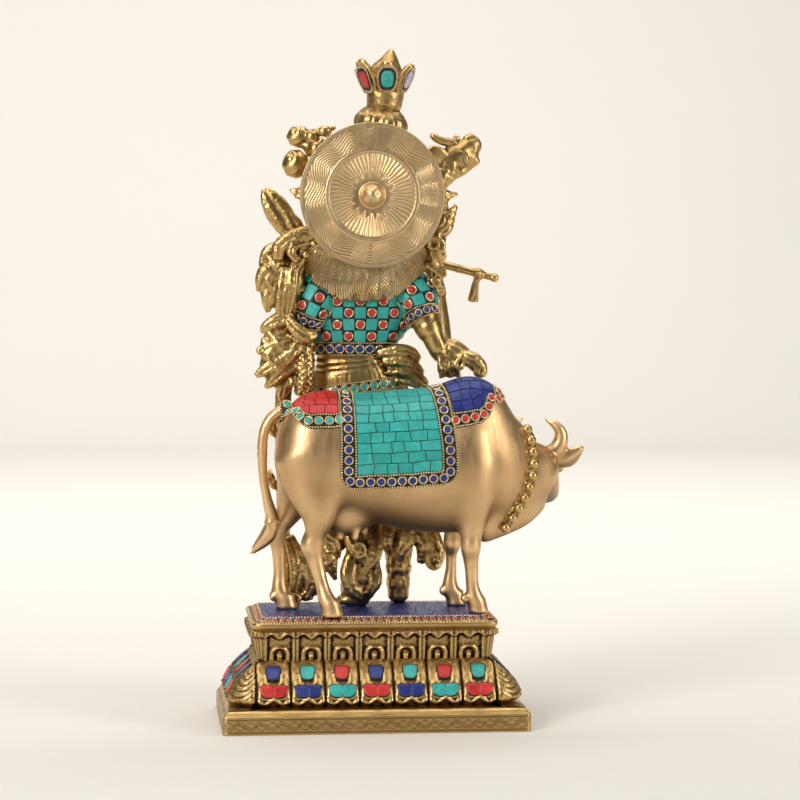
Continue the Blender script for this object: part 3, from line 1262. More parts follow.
def crest_cast():
    """The leafy arch behind the head, its buds, and the small horned animal head at the photo's right."""
    arch = Cast((-76, -12, 350), (98, 40, 494), PITCH["crest"])
    angle = np.linspace(ARCH["from"], ARCH["to"], 17)
    x, y, z = ARCH["centre"]
    rows = np.zeros((17, 4)) + (x, y, z, ARCH["thick"])
    rows[:, 0] += ARCH["radius"] * np.cos(angle)
    rows[:, 2] += ARCH["radius"] * np.sin(angle)
    scales = lambda share, turn, side: 0.7 * np.cos(2 * np.pi * share * 60) * np.cos(turn)
    arch.limb(rows, blend=0, relief=scales)
    petal = lambda x, y, z: 0.4 * np.cos(4 * np.hypot(x + 0.5, z - 0.4) * 3 + 2 * x)
    arch.limb([[-44, 4, 468, 4], [-52, 12, 478, 4], [-56, 18, 484, 5]], blend=1)
    for place, sizes in BUDS:
        arch.ball(place, sizes, 2, petal if sizes[0] > 8 else None)
    arch.balls([(-40, 3, 482), (-34, 4, 486), (-30, 6, 493), (-44, 6, 490)], 2.6)
    arch.leaf((-48, 4, 436), (-57, 6, 438), (-66, 7, 442), 5, 3, ribs=3)
    arch.leaf((48, 3, 440), (62, 7, 437), (75, 10, 438), 5, 3.2, ribs=3)
    arch.leaf((52, 4, 446), (60, 6, 432), (66, 8, 424), 6, 3.2, ribs=3)
    arch.curl((54, 6, 396), 8, 5.6, 1.0, 3.4, 2)
    fall = ([56, 10, 410, 9, 7], [56, 10, 394, 8, 7], [57, 13, 377, 6, 6], [58, 16, 362, 4, 4])
    arch.limb(fall, blend=1.5, relief=strands(6, 0.7))
    for x, z, size in ((60, 386, 5), (54, 377, 4.4), (61, 372, 4.4), (56, 364, 4), (60, 357, 3.6)):
        arch.curl((x, 8, z), size, 0.7 * size, -1.1, size * 0.42, 1, 2, 0.8)
    for k in range(4):
        z = 424 - 5 * k
        fan = [
            [56, 9, z - 4, 4, 3],
            [64, 8, z - 3, 5.4, 3],
            [71 - k, 8, z + 1.5, 4.4, 2.6],
            [73 - k, 8, z + 5, 1.4, 1.4],
        ]
        arch.limb(fan, (0.3, 0, 1), 0.8, strands(4, 0.3))
    wool = lambda share, angle, side: 0.6 * np.cos(7 * angle + 11 * share) * np.cos(24 * share)
    arch.limb([[50, 6, 443, 8, 8], [60, 9, 452, 10, 9], [68, 12, 461, 11, 10]], relief=wool)
    for rows in CALF_HEAD:
        arch.limb(rows, blend=1.5)
    arch.ball((74, 8, 467), (7, 4, 6.4), 1, lambda x, y, z: 0.35 * np.cos(13 * x) * np.cos(13 * z))
    arch.curl((74, 5.5, 468), 8, -0.4, 0.5, 1.3, 0, 0, 1)
    arch.limb(CALF_EAR, blend=1, relief=ear_hollow)
    arch.ball((88.5, 10.5, 476), (2.6, 2, 3), 0.6, lambda x, y, z: -1.4 * np.exp(-(x * x + z * z) * 3))
    arch.balls([(74, 13, 485), (91, 14, 465.5)], 2.8, 1)
    arch.ball((84, 15, 470), (8.4, 6.5, 9), 3)
    arch.roughen((44, -12, 440), (98, 40, 494), 0.16, 3.4)
    arch.roughen((-76, -12, 350), (98, 40, 440), 0.3, 4.4)
    arch.cut((-58, -20, 372), (60, -10.6, 494))
    return arch


def ear_hollow(share, angle, side):
    """The hollow in a small ear, on the face towards -Y."""
    return -1.1 * np.exp(-((side / 0.55) ** 2)) * (np.sin(angle) < 0)


def flute_cast():
    """The flute with its rings, knob and tassel."""
    pipe = Cast((-24, 38, 332), (120, 66, 410), PITCH["flute"])
    start, end = FLUTE
    at = lambda share: start + (end - start) * share
    sizes = ((0, 3.4), (0.3, 3.4), (0.6, 3.4), (0.86, 3.3), (0.95, 2.8), (1, 2.8))
    rings = lambda share, angle, side: 0.5 * np.exp(-((np.mod(share * 7, 1) - 0.5) ** 2) * 300)
    pipe.limb([[*at(share), size] for share, size in sizes], (0, 0, 1), 0, rings)
    pipe.ball(at(0.985), (3.8, 3.8, 3.8), 1)
    pipe.ball(at(0.88), (5, 5, 5), 2, lambda x, y, z: 0.35 * np.cos(10 * x))
    tassel = [(0, 0, -2, 3, 3), (-2.4, 0, -8, 2.6, 2.6), (-3.4, 1, -15, 3.8, 3), (-4.4, 2, -23, 4.4, 3)]
    pipe.limb(np.array(tassel) + (*at(0.88), 0, 0), blend=1, relief=strands(6, 0.4), cap=0.3)
    return pipe


# Surfaces that carry stones


class Wrap:
    """A patch of surface as a grid of points and the ways they face, read with u and v from 0 to 1."""

    def __init__(self, points, facing):
        self.points = points
        self.facing = facing
        rows, columns = points.shape[:2]
        self.long = path_length(points[:, columns // 2])[-1]
        self.wide = path_length(points[rows // 2])[-1]

    def read(self, values, u, v):
        """Values of the grid between its points."""
        rows, columns = values.shape[:2]
        y = np.clip(np.asarray(u, float), 0, 1) * (rows - 1)
        x = np.clip(np.asarray(v, float), 0, 1) * (columns - 1)
        i = np.minimum(y.astype(int), rows - 2)
        j = np.minimum(x.astype(int), columns - 2)
        f = (y - i)[..., None]
        g = (x - j)[..., None]
        low = values[i, j] * (1 - g) + values[i, j + 1] * g
        high = values[i + 1, j] * (1 - g) + values[i + 1, j + 1] * g
        return low * (1 - f) + high * f

    def way(self, u, v):
        """The way the patch faces."""
        return unit(self.read(self.facing, u, v))

    def at(self, u, v, lift=0.0):
        """Points over the patch, lifted off it."""
        lift = np.broadcast_to(np.asarray(lift, float), np.shape(u))
        return self.read(self.points, u, v) + self.way(u, v) * lift[..., None]

    def loop(self, inset, edges, step=0.5):
        """A path along the edges at an inset in mm, as u and v. edges names which ends of u have an edge."""
        du = inset / self.long
        dv = inset / self.wide
        first = du if "low" in edges else 0
        last = 1 - du if "high" in edges else 1
        corners = [(first, dv), (last, dv), (last, 1 - dv), (first, 1 - dv)]
        if edges == "low high":
            corners.append(corners[0])
        elif edges == "low":
            corners = [corners[1], corners[0], corners[3], corners[2]]
        scale = np.array([self.long, self.wide])
        path = spaced(np.pad(np.array(corners) * scale, ((0, 0), (0, 1))), 0.25)[:, :2] / scale
        far = path_length(self.at(*path.T))
        even = np.linspace(0, far[-1], max(2, int(round(far[-1] / step)) + 1))
        return np.stack([np.interp(even, far, path[:, k]) for k in (0, 1)], axis=-1)


def courses(wrap, u0, u1, v0, v1, tall, long, rng):
    """Rows of chips of uneven length over part of a patch, with slightly crooked joints."""
    rows = max(1, int(round((v1 - v0) * wrap.wide / tall)))
    edges = np.linspace(v0, v1, rows + 1)
    span = (u1 - u0) * wrap.long
    cells = []

    def line(k, u):
        inside = 0 < k < rows
        return edges[k] + inside * 0.4 * np.sin(9 * u * wrap.long / tall / 6 + 2.3 * k) / wrap.wide

    for k in range(rows):
        count = max(1, int(round(span / long + rng.uniform(-0.6, 0.6))))
        cuts = np.linspace(0, 1, count + 1)
        cuts[1:-1] += rng.uniform(-0.22, 0.22, count - 1) / count
        lean = np.zeros(count + 1)
        lean[1:-1] = rng.uniform(-0.7, 0.7, count - 1) / span
        low = u0 + (u1 - u0) * (cuts + lean)
        high = u0 + (u1 - u0) * (cuts - lean)
        for j in range(count):
            a, b, c, d = low[j], low[j + 1], high[j + 1], high[j]
            cells.append([(a, line(k, a)), (b, line(k, b)), (c, line(k + 1, c)), (d, line(k + 1, d))])
    return np.array(cells)


def tiles(name, wrap, cells, lift, thick, gap, kind, rng, steps=3):
    """Stone chips over a patch. Each cell is four corners in u and v, and gap is the joint between chips."""
    cells = np.asarray(cells, float)
    count = len(cells)
    bevel = 0.3
    place = np.linspace(0, 1, steps + 1)
    size = np.array([wrap.long, wrap.wide])
    spans = [np.maximum(np.linalg.norm((cells[:, k] - cells[:, 0]) * size, axis=-1), 1.5) for k in (1, 3)]
    grids = []
    for inset, height in ((gap / 2, -0.6), (gap / 2, thick - bevel), (gap / 2 + bevel, thick)):
        s0, t0 = ((inset / span)[:, None, None] for span in spans)
        s = s0 + (1 - 2 * s0) * place[None, :, None]
        t = t0 + (1 - 2 * t0) * place[None, None, :]
        s, t = (v[..., None] for v in np.broadcast_arrays(s, t))
        near = cells[:, None, None, 0] * (1 - s) + cells[:, None, None, 1] * s
        far = cells[:, None, None, 3] * (1 - s) + cells[:, None, None, 2] * s
        uv = near * (1 - t) + far * t
        grids.append(wrap.at(uv[..., 0], uv[..., 1], lift + height))
    n = steps + 1
    ring = [(0, j) for j in range(n)] + [(i, n - 1) for i in range(1, n)]
    ring += [(n - 1, j) for j in range(n - 2, -1, -1)] + [(i, 0) for i in range(n - 2, 0, -1)]
    rows, columns = (np.array(v) for v in zip(*ring))
    sides = len(ring)
    points = np.concatenate(
        [grids[0][:, rows, columns], grids[1][:, rows, columns], grids[2].reshape(count, n * n, 3)], axis=1
    )
    ahead = (np.arange(sides) + 1) % sides
    here = np.arange(sides)
    inner = 2 * sides + rows * n + columns
    wall = np.stack([here, ahead, sides + ahead, sides + here], -1)
    edge = np.stack([sides + here, sides + ahead, inner[ahead], inner[here]], -1)
    top = grid_faces(n, n)[:, ::-1] + 2 * sides
    k = np.arange(0, sides // 2 - 1)
    under = np.stack([(sides - k) % sides, sides - 1 - k, k + 1, k], -1)
    faces = np.concatenate([wall, edge, top, under])
    each = points.shape[1]
    all_faces = (faces[None] + (np.arange(count) * each)[:, None, None]).reshape(-1, 4)
    shade = np.repeat(rng.uniform(0, 1, count), each)
    piece = new_mesh(name, points.reshape(-1, 3), all_faces, finishes()[kind], {"shade": shade}, smooth=False)
    make_outward(piece)
    dress(piece, kind)


def make_outward(piece):
    """Turns every face of a mesh of closed parts outwards."""
    mesh = bmesh.new()
    mesh.from_mesh(piece.data)
    bmesh.ops.remove_doubles(mesh, verts=mesh.verts, dist=1e-8)
    bmesh.ops.recalc_face_normals(mesh, faces=mesh.faces)
    mesh.to_mesh(piece.data)
    mesh.free()


def bed(name, wrap, lift, sink, *nodes, rows=28, columns=68):
    """A thin bed of resin over a patch, closed below, whose edges turn down into the metal."""
    u, v = np.meshgrid(np.linspace(0, 1, rows), np.linspace(0, 1, columns), indexing="ij")
    top = wrap.at(u, v, lift).reshape(-1, 3)
    base = wrap.at(u, v, -sink).reshape(-1, 3)
    faces = grid_faces(rows, columns)[:, ::-1]
    count = rows * columns
    number = np.arange(count).reshape(rows, columns)
    ring = np.concatenate([number[0], number[1:, -1], number[-1, -2::-1], number[-2:0:-1, 0]])
    ahead = np.roll(ring, -1)
    wall = np.stack([ring, ahead, ahead + count, ring + count], -1)
    points = np.concatenate([top, base])
    faces = np.concatenate([faces, faces[:, ::-1] + count, wall])
    piece = new_mesh(name, points, faces, finishes()["resin"], {"hollow": np.zeros(len(points))})
    make_outward(piece)
    dress(piece, "resin", *nodes)


# Geometry nodes for what repeats: patterns laid on points, and beads along paths


class Tree:
    """A geometry node tree, built step by step, whose named inputs are its sizes."""

    def __init__(self, name, inputs):
        self.tree = bpy.data.node_groups.new(name, "GeometryNodeTree")
        face = self.tree.interface
        self.keys = {}
        face.new_socket("Geometry", in_out="INPUT", socket_type="NodeSocketGeometry")
        for key, kind in inputs.items():
            self.keys[key] = face.new_socket(key, in_out="INPUT", socket_type=kind).identifier
        face.new_socket("Geometry", in_out="OUTPUT", socket_type="NodeSocketGeometry")
        self.given = self.tree.nodes.new("NodeGroupInput").outputs
        self.result = self.tree.nodes.new("NodeGroupOutput").inputs["Geometry"]

    def node(self, kind, inputs=None, **settings):
        """A node with its settings and its inputs."""
        made = self.tree.nodes.new(kind)
        for key, value in settings.items():
            setattr(made, key, value)
        for key, value in (inputs or {}).items():
            if isinstance(value, bpy.types.NodeSocket):
                self.tree.links.new(value, made.inputs[key])
            else:
                made.inputs[key].default_value = value
        return made

    def field(self, name, kind):
        """A named number or arrow kept on the points."""
        return self.node("GeometryNodeInputNamedAttribute", {"Name": name}, data_type=kind).outputs[0]

    def end(self, geometry):
        """Realises the copies and sets their material."""
        whole = self.node("GeometryNodeRealizeInstances", {"Geometry": geometry})
        smooth = self.node("GeometryNodeSetShadeSmooth", {"Geometry": whole.outputs[0]})
        inputs = {"Geometry": smooth.outputs[0], "Material": self.given["Material"]}
        painted = self.node("GeometryNodeSetMaterial", inputs)
        self.tree.links.new(painted.outputs[0], self.result)
        return self


def laying_tree():
    """Lays a pattern on every point, turned to the point's own way, heading and size."""
    made = Tree("lay_on_points", {"Pattern": "NodeSocketObject", "Material": "NodeSocketMaterial"})
    info = made.node("GeometryNodeObjectInfo", {"Object": made.given["Pattern"]})
    align = "FunctionNodeAlignRotationToVector"
    stand = made.node(align, {"Vector": made.field("facing", "FLOAT_VECTOR")}, axis="Z")
    inputs = {"Rotation": stand.outputs[0], "Vector": made.field("heading", "FLOAT_VECTOR")}
    turn = made.node(align, inputs, axis="Y", pivot_axis="Z")
    inputs = {
        "Points": made.given["Geometry"],
        "Instance": info.outputs["Geometry"],
        "Rotation": turn.outputs[0],
        "Scale": made.field("size", "FLOAT_VECTOR"),
    }
    return made.end(made.node("GeometryNodeInstanceOnPoints", inputs).outputs[0])


def bead_tree():
    """Puts round beads along paths at an even spacing."""
    sizes = {"Spacing": "NodeSocketFloat", "Radius": "NodeSocketFloat", "Material": "NodeSocketMaterial"}
    made = Tree("beads_on_paths", sizes)
    path = made.node("GeometryNodeMeshToCurve", {"Mesh": made.given["Geometry"]})
    inputs = {"Curve": path.outputs[0], "Length": made.given["Spacing"]}
    even = made.node("GeometryNodeResampleCurve", inputs, mode="LENGTH")
    bead = made.node("GeometryNodeMeshIcoSphere", {"Radius": made.given["Radius"], "Subdivisions": 1})
    inputs = {"Points": even.outputs[0], "Instance": bead.outputs[0]}
    return made.end(made.node("GeometryNodeInstanceOnPoints", inputs).outputs[0])


TREES = {}


def run_tree(name, key, mesh, kind, inputs):
    """Runs one of the trees on a mesh and gives back a plain mesh object, finished and settled."""
    if key not in TREES:
        TREES[key] = {"lay": laying_tree, "beads": bead_tree}[key]()
    made = TREES[key]
    source = bpy.data.objects.new(name + "_path", mesh)
    bpy.context.scene.collection.objects.link(source)
    modifier = source.modifiers.new("pattern", "NODES")
    modifier.node_group = made.tree
    finish = finishes()[kind]
    for label, value in {**inputs, "Material": finish}.items():
        modifier[made.keys[label]] = value
    graph = bpy.context.evaluated_depsgraph_get()
    result = bpy.data.meshes.new_from_object(source.evaluated_get(graph), depsgraph=graph)
    bpy.data.objects.remove(source)
    if not result.materials:
        result.materials.append(finish)
    if "hollow" not in result.attributes:
        layer = result.attributes.new("hollow", "FLOAT", "POINT")
        layer.data.foreach_set("value", np.zeros(len(result.vertices), np.float32))
    piece = bpy.data.objects.new(name, result)
    bpy.context.scene.collection.objects.link(piece)
    dress(piece, kind)


def bead_rows(name, paths, radius, spacing):
    """Rows of wire beads along several paths in mm."""
    edges = []
    start = 0
    for path in paths:
        edges += [(start + k, start + k + 1) for k in range(len(path) - 1)]
        start += len(path)
    mesh = bpy.data.meshes.new(name + "_path")
    mesh.from_pydata((np.concatenate(paths) * MM).tolist(), edges, [])
    run_tree(name, "beads", mesh, "wire", {"Spacing": spacing * MM, "Radius": radius * MM})


def lay(name, pattern, places, facing, heading, size, kind, rng):
    """Copies of a pattern at places in mm, each facing its own way, with its own shade."""
    places = np.asarray(places, float)
    mesh = bpy.data.meshes.new(name + "_points")
    mesh.from_pydata((places * MM).tolist(), [], [])
    for key, values in {"facing": facing, "heading": heading, "size": size}.items():
        layer = mesh.attributes.new(key, "FLOAT_VECTOR", "POINT")
        values = np.ascontiguousarray(np.broadcast_to(values, places.shape), np.float32)
        layer.data.foreach_set("vector", values.ravel())
    shade = mesh.attributes.new("shade", "FLOAT", "POINT")
    shade.data.foreach_set("value", rng.uniform(0, 1, len(places)).astype(np.float32))
    run_tree(name, "lay", mesh, kind, {"Pattern": pattern})


def lay_mixed(name, gem, bedding, rows, rng):
    """Stones of several kinds, each on a bed of resin. A row is a kind, place, facing, heading and size."""

    def columns(chosen):
        return [np.array(column) for column in list(zip(*chosen))[1:]]

    for kind in sorted({row[0] for row in rows}):
        lay(name + "_" + kind, gem, *columns([row for row in rows if row[0] == kind]), kind, rng)
    lay(name + "_beds", bedding, *columns(rows), "resin", rng)


def pattern(name, points, faces):
    """A closed mesh in mm that stays out of the scene, to be laid in copies."""
    piece = new_mesh(name, points, faces, finishes()["wire"])
    make_outward(piece)
    bpy.context.scene.collection.objects.unlink(piece)
    return piece


def turned_rows(profile, sides):
    """Rings of points about +Z through rows of radius and height."""
    angle = np.linspace(0, 2 * np.pi, sides, endpoint=False) + np.pi / sides
    rows = [[r * np.cos(angle), r * np.sin(angle), 0 * angle + h] for r, h in profile]
    return np.array(rows).transpose(0, 2, 1)


def turned_pattern(name, profile, sides):
    """A small closed pattern turned about +Z."""
    ends = ((0, 0, profile[0][1]), (0, 0, profile[-1][1]))
    return pattern(name, *closed_rings(turned_rows(profile, sides), *ends))


def slab_pattern(name, outline, grow, height):
    """A low stone with an outline in X and Y, softly bevelled. grow widens it all round."""
    path = spaced(between(np.array([[*p, 0.0] for p in [*outline, outline[0]]]), 60), 1.9)[:-1, :2]
    middle = path.mean(axis=0)
    out = unit(path - middle)
    rows = []
    for inset, level in ((0, -1.4), (0, height - 0.35), (0.45, height), (2.0, height + 0.12)):
        rows.append(np.column_stack([path + out * (grow - inset), np.full(len(path), level)]))
    return pattern(name, *closed_rings(np.array(rows), (*middle, -1.4), (*middle, height + 0.12)))


def ring_pattern(name, inner, outer, height, sides):
    """A wire ring, closed on itself."""
    low, side = -0.6, height * 0.6
    profile = [(inner, low), (inner, side), ((inner + outer) / 2, height), (outer, side), (outer, low)]
    rows = turned_rows(profile, sides)
    number = np.arange(rows[..., 0].size).reshape(rows.shape[:2])
    ahead = np.roll(number, -1, axis=1)
    faces = np.stack([number, np.roll(number, -1, axis=0), np.roll(ahead, -1, axis=0), ahead], -1)
    return pattern(name, rows.reshape(-1, 3), faces.reshape(-1, 4))


def closed_rings(rows, low, high):
    """Points and faces of rings of points stacked up and closed at a point below and above."""
    count, columns = rows.shape[:2]
    points = np.concatenate([rows.reshape(-1, 3), [low], [high]])
    start = np.arange(columns)
    ahead = (start + 1) % columns
    first = np.stack([np.full(columns, count * columns), ahead, start], -1)
    top = (count - 1) * columns
    last = np.stack([top + start, top + ahead, np.full(columns, count * columns + 1)], -1)
    return points, [grid_faces(count, columns, True), np.concatenate([first, last])]


def settings(name, wrap, uv, kind, rng, radius=3.8):
    """Round stones in wire rings over a patch, at the given u and v."""
    u, v = np.asarray(uv, float).T
    places = wrap.at(u, v, 0.7)
    facing = wrap.way(u, v)
    size = radius / 3.8
    ring = ring_pattern("ring_pattern", 2.75, 3.9, 1.5, 18)
    gem = turned_pattern("gem_pattern", [(2.9, -0.6), (2.85, 0.5), (2.4, 0.95), (1.2, 1.1)], 12)
    lay(name + "_rings", ring, places, facing, (0, 0, 1), size, "wire", rng)
    lay(name + "_gems", gem, places, facing, (0, 0, 1), size, kind, rng)


# The cow's cloths


BORDER = 12.4  # width of a cloth's border of round settings
PATCH_ROWS = 60
PATCH_COLUMNS = 150
PATCH_ANGLES = np.radians(np.linspace(-135, 135, 181))  # from the near belly over the back to the far one
BARREL = np.array([0.0, -22.0, 222.0])  # the axis of the cow's barrel
BARREL_REACH = 72  # how far from that axis the rays on to the cow start


def cow_patch(left, right, bottom, edges, corner=11.0):
    """A patch over the cow's back with round corners. left and right give X for the share of the way down,
    and bottom gives Z for an X."""
    rows, columns = PATCH_ROWS, PATCH_COLUMNS
    cow = the_cow()

    def hit(x, angle):
        way = np.stack([0 * angle, np.sin(angle), np.cos(angle)], axis=-1)
        middle = BARREL + np.stack([x, 0 * x, 0 * x], axis=-1)
        return cow.land(middle + way * BARREL_REACH, -way)

    share = np.linspace(0, 1, rows)
    angle = PATCH_ANGLES
    x = left(0.5) + (right(0.5) - left(0.5)) * share
    wide_x, wide_angle = np.meshgrid(x, angle, indexing="ij")
    table, _ = hit(wide_x, wide_angle)
    run = np.linalg.norm(np.diff(table, axis=1), axis=-1)
    arc = np.concatenate([np.zeros((rows, 1)), np.cumsum(run, axis=1)], axis=1)
    top = len(angle) // 2
    ways = []
    for k in range(rows):
        level = bottom(x[k])
        near = np.nonzero(table[k, : top + 1, 2] < level)[0]
        far = np.nonzero(table[k, top:, 2] < level)[0]
        low = near[-1] if len(near) else 0
        high = top + far[0] if len(far) else len(angle) - 1
        ways.append([arc[k, low], arc[k, high], arc[k, top]])
    ways = np.array(ways)
    smooth = np.array([np.interp(share, share[::6], ways[::6, n]) for n in range(3)]).T
    span = smooth[:, 1] - smooth[:, 0]
    across = np.linspace(0, 1, columns)
    u, v = np.meshgrid(share, across, indexing="ij")
    u, v = rounded(u, v, (x[-1] - x[0]), float(np.median(span)), corner, edges)
    base = np.interp(u, share, smooth[:, 0])
    reach = base + v * np.interp(u, share, span)
    place = np.zeros_like(reach)
    for k in range(rows):
        place[k] = np.interp(reach[k], arc[k], angle)
    down = np.abs(2 * v - 1)
    points, facing = hit(left(down) + (right(down) - left(down)) * u, place)
    return Wrap(points, facing)


def rounded(u, v, long, wide, radius, edges):
    """Rounds the corners of a patch at the ends of u that are edges."""
    a = np.where(u < 0.5, u, 1 - u) * long
    b = np.where(v < 0.5, v, 1 - v) * wide
    p = np.clip(1 - a / radius, 0, 1)
    q = np.clip(1 - b / radius, 0, 1)
    shrink = np.maximum(p, q) / np.maximum(np.hypot(p, q), 1e-9)
    at_edge = ((u < 0.5) & ("low" in edges)) | ((u >= 0.5) & ("high" in edges))
    corner = (p > 0) & (q > 0) & at_edge
    a = np.where(corner, radius * (1 - p * shrink), a) / long
    b = np.where(corner, radius * (1 - q * shrink), b) / wide
    return np.where(u < 0.5, a, 1 - a), np.where(v < 0.5, b, 1 - b)


def cloth(name, wrap, edges, field, gem, rng, tall=8.6, long=11.0):
    """A cloth over the cow: a bed of resin, a field of chips and a border of settings between beads."""
    bed(name + "_bed", wrap, 0.55, 1.2, name + "_cloth")
    du = BORDER / wrap.long
    dv = BORDER / wrap.wide
    u0 = du if "low" in edges else 0.01
    u1 = 1 - du if "high" in edges else 0.99
    cells = courses(wrap, u0, u1, dv, 1 - dv, tall, long, rng)
    tiles(name + "_chips", wrap, cells, 0.4, 1.0, 0.55, field, rng)
    loops = [wrap.at(*wrap.loop(inset, edges).T, 1.1) for inset in (1.0, BORDER - 0.9)]
    bead_rows(name + "_beads", loops, 1.0, 2.2)
    even = wrap.loop(BORDER / 2, edges, 8.5)
    settings(name, wrap, even[:-1] if edges == "low high" else even, gem, rng)


class ClothPieces(bpy.types.Operator):
    """The saddle, rump and hump cloths, laid over the cow in stone chips"""

    bl_idname = "statue.cloths"
    bl_label = "Cloths"

    def execute(self, context):
        rng = np.random.default_rng(SEED)
        saddle = cow_patch(
            lambda down: -29 + 0 * down,
            lambda down: 57 + 10.5 * np.clip(down * 1.4, 0, 1) ** 0.8,
            lambda x: np.interp(x, [-29, -20, 60, 67], [199, 197.5, 201, 203]),
            "low high",
        )
        cloth("saddle", saddle, "low high", "turquoise", "lapis", rng)
        rump = cow_patch(
            lambda down: -76 + 0 * down,
            lambda down: -29.6 + 0 * down,
            lambda x: np.interp(x, [-76, -62, -45, -30], [250, 248.5, 247.5, 247]),
            "low",
            26.0,
        )
        cloth("rump", rump, "low", "coral", "turquoise", rng)
        hump = cow_patch(
            lambda down: 57.6 + 8 * np.clip(down * 1.2, 0, 1),
            lambda down: 109 + 0 * down,
            lambda x: np.interp(x, [57, 70, 92, 109], [247, 248, 252, 258]),
            "high",
            28.0,
        )
        cloth("hump", hump, "high", "lapis", "coral", rng, 9, 11)
        return {"FINISHED"}


# The blouse and its belt


def limb_patch(stations, start, end, rows=50, columns=160):
    """A patch right round a limb between two shares of its length. v begins on the side towards +Y."""
    s = Sections(stations, 60)
    turns = np.linspace(0, 2 * np.pi, columns)
    share, angle = np.meshgrid(np.linspace(start, end, rows), turns, indexing="ij")
    points = s.point(share, angle + math.pi / 2, 0.3)
    for k in range(rows):
        far = path_length(points[k])
        even = np.linspace(0, far[-1], columns)
        points[k] = np.stack([np.interp(even, far, points[k, :, n]) for n in range(3)], axis=-1)
    facing = unit(np.cross(np.gradient(points, axis=1), np.gradient(points, axis=0)))
    middle = points.mean(axis=1, keepdims=True)
    if ((points - middle) * facing).sum() < 0:
        facing = -facing
    return Wrap(points, facing)


BACK_LINE = -7  # X of the middle column of chips on the back
TORSO_COLUMNS = 200
TORSO_REACH = (64, 34, 0)  # how far from the spine the rays on to the body start


def torso_patch(low, high, lean=0.0, rows=40):
    """A level patch right round the body between two heights, its middle at the back. lean tilts it."""
    columns = TORSO_COLUMNS
    if "torso" not in CASTS:
        torso = Cast((-66, -4, 232), (62, 70, 386), PITCH["torso"])
        torso.limb(TORSO, blend=0)
        CASTS["torso"] = torso
    spine = np.array([row[:3] for row in TORSO], float)
    round_about = np.linspace(0, 2 * np.pi, columns)
    height, angle = np.meshgrid(np.linspace(low, high, rows), round_about, indexing="ij")
    x, y = (np.interp(height, spine[:, 2], spine[:, k]) for k in (0, 1))
    for _ in range(2):
        way = np.stack([np.sin(angle), np.cos(angle), 0 * angle], axis=-1)
        middle = np.stack([x, y, height + lean * 40 * np.sin(angle)], axis=-1)
        points, facing = CASTS["torso"].land(middle + way * TORSO_REACH, -way)
        even = np.linspace(-0.5, 0.5, columns)
        for k in range(rows):
            far = path_length(points[k])
            back = np.arange(columns // 4, 3 * columns // 4)
            start = np.interp(-BACK_LINE, -points[k, back, 0], far[back])
            turns = np.concatenate([angle[k][:-1] - 2 * np.pi, angle[k], angle[k][1:] + 2 * np.pi])
            long = np.concatenate([far[:-1] - far[-1], far, far[1:] + far[-1]])
            angle[k] = np.interp(start + even * far[-1], long, turns)
    return Wrap(points, facing)


def chequer(wrap, pitch, rows):
    """Cells of a chequer with an even pitch round a patch, and the u and v of the settings between them."""
    cells = []
    spots = []
    edges = np.linspace(0, 1, rows + 1)
    for k in range(rows):
        middle = (edges[k] + edges[k + 1]) / 2
        ring = wrap.at(np.full(200, middle), np.linspace(0, 1, 200))
        length = path_length(ring)[-1]
        half = int(length / 2 / pitch)
        first = None
        for j in range(-half, half + 1):
            low = 0.5 + (j - 0.5) * pitch / length
            high = low + pitch / length
            if (j + k) % 2:
                first = low if first is None else first
                if low - first < 1 - 0.95 * pitch / length:
                    spots.append((middle, (low + high) / 2))
            elif low > 0 and high < 1:
                cells.append([(edges[k], low), (edges[k + 1], low), (edges[k + 1], high), (edges[k], high)])
    return np.array(cells), spots


class BlousePieces(bpy.types.Operator):
    """The blouse of turquoise chips chequered with coral settings, its sleeves and its belts"""

    bl_idname = "statue.blouse"
    bl_label = "Blouse"

    def execute(self, context):
        rng = np.random.default_rng(SEED + 1)
        self.panel("blouse", torso_patch(315, 373.8), 6, rng, "blouse_stones")
        for side, stations in (("right", RIGHT_ARM), ("left", LEFT_ARM)):
            self.panel(side + "_sleeve", limb_patch(stations, 0.0, 0.205), 3, rng)
            self.band(side + "_cuff", limb_patch(stations, 0.21, 0.275, rows=12, columns=90), 7.0, 3.2, rng)
        self.band("belt", torso_patch(303.6, 314.6, rows=16), 8.3, 4.0, rng, "waist_belt")
        self.band("hip_belt", torso_patch(272, 281, 0.16, rows=16), 8.2, 3.6, rng, gem="turquoise")
        return {"FINISHED"}

    def panel(self, name, wrap, rows, rng, *nodes):
        """A chequered panel of chips and settings."""
        bed(name + "_bed", wrap, 0.6, 1.4, *nodes)
        cells, spots = chequer(wrap, 9.5, rows)
        tiles(name + "_chips", wrap, cells, 0.45, 1.1, 0.35, "turquoise", rng)
        settings(name, wrap, spots, "coral", rng, 4.1)

    def band(self, name, wrap, pitch, radius, rng, *nodes, gem="lapis"):
        """A band of settings between two rows of beads."""
        bed(name + "_bed", wrap, 0.6, 1.4, *nodes, rows=12)
        count = int(round(wrap.wide / pitch))
        spots = [(0.5, (k + 0.5) / count) for k in range(count)]
        settings(name, wrap, spots, gem, rng, radius)
        v = np.linspace(0, 1, 200)
        bead_rows(name + "_beads", [wrap.at(np.full(200, u), v, 1.0) for u in (0.03, 0.97)], 0.85, 1.9)


# The halo disc


DISC = {"centre": (1, -14, 437), "radius": 60}
DISC_COLUMNS = 380
DISC_RADII = [0, 3, 6, 8.4, 10, 11, 14, 20, 36, 37, 38, 57, 60]
DISC_HEIGHTS = [9.6, 9.0, 7.2, 4.6, 1.4, 0.4, 0.6, 1.6, 3.0, 3.2, 3.0, 0.8, 0.8]
DISC_RINGS = (36.3, 38.2, 57.4, 59.3)


def smooth_face(r):
    """The disc's face without its lines."""
    return np.interp(r, DISC_RADII, DISC_HEIGHTS)


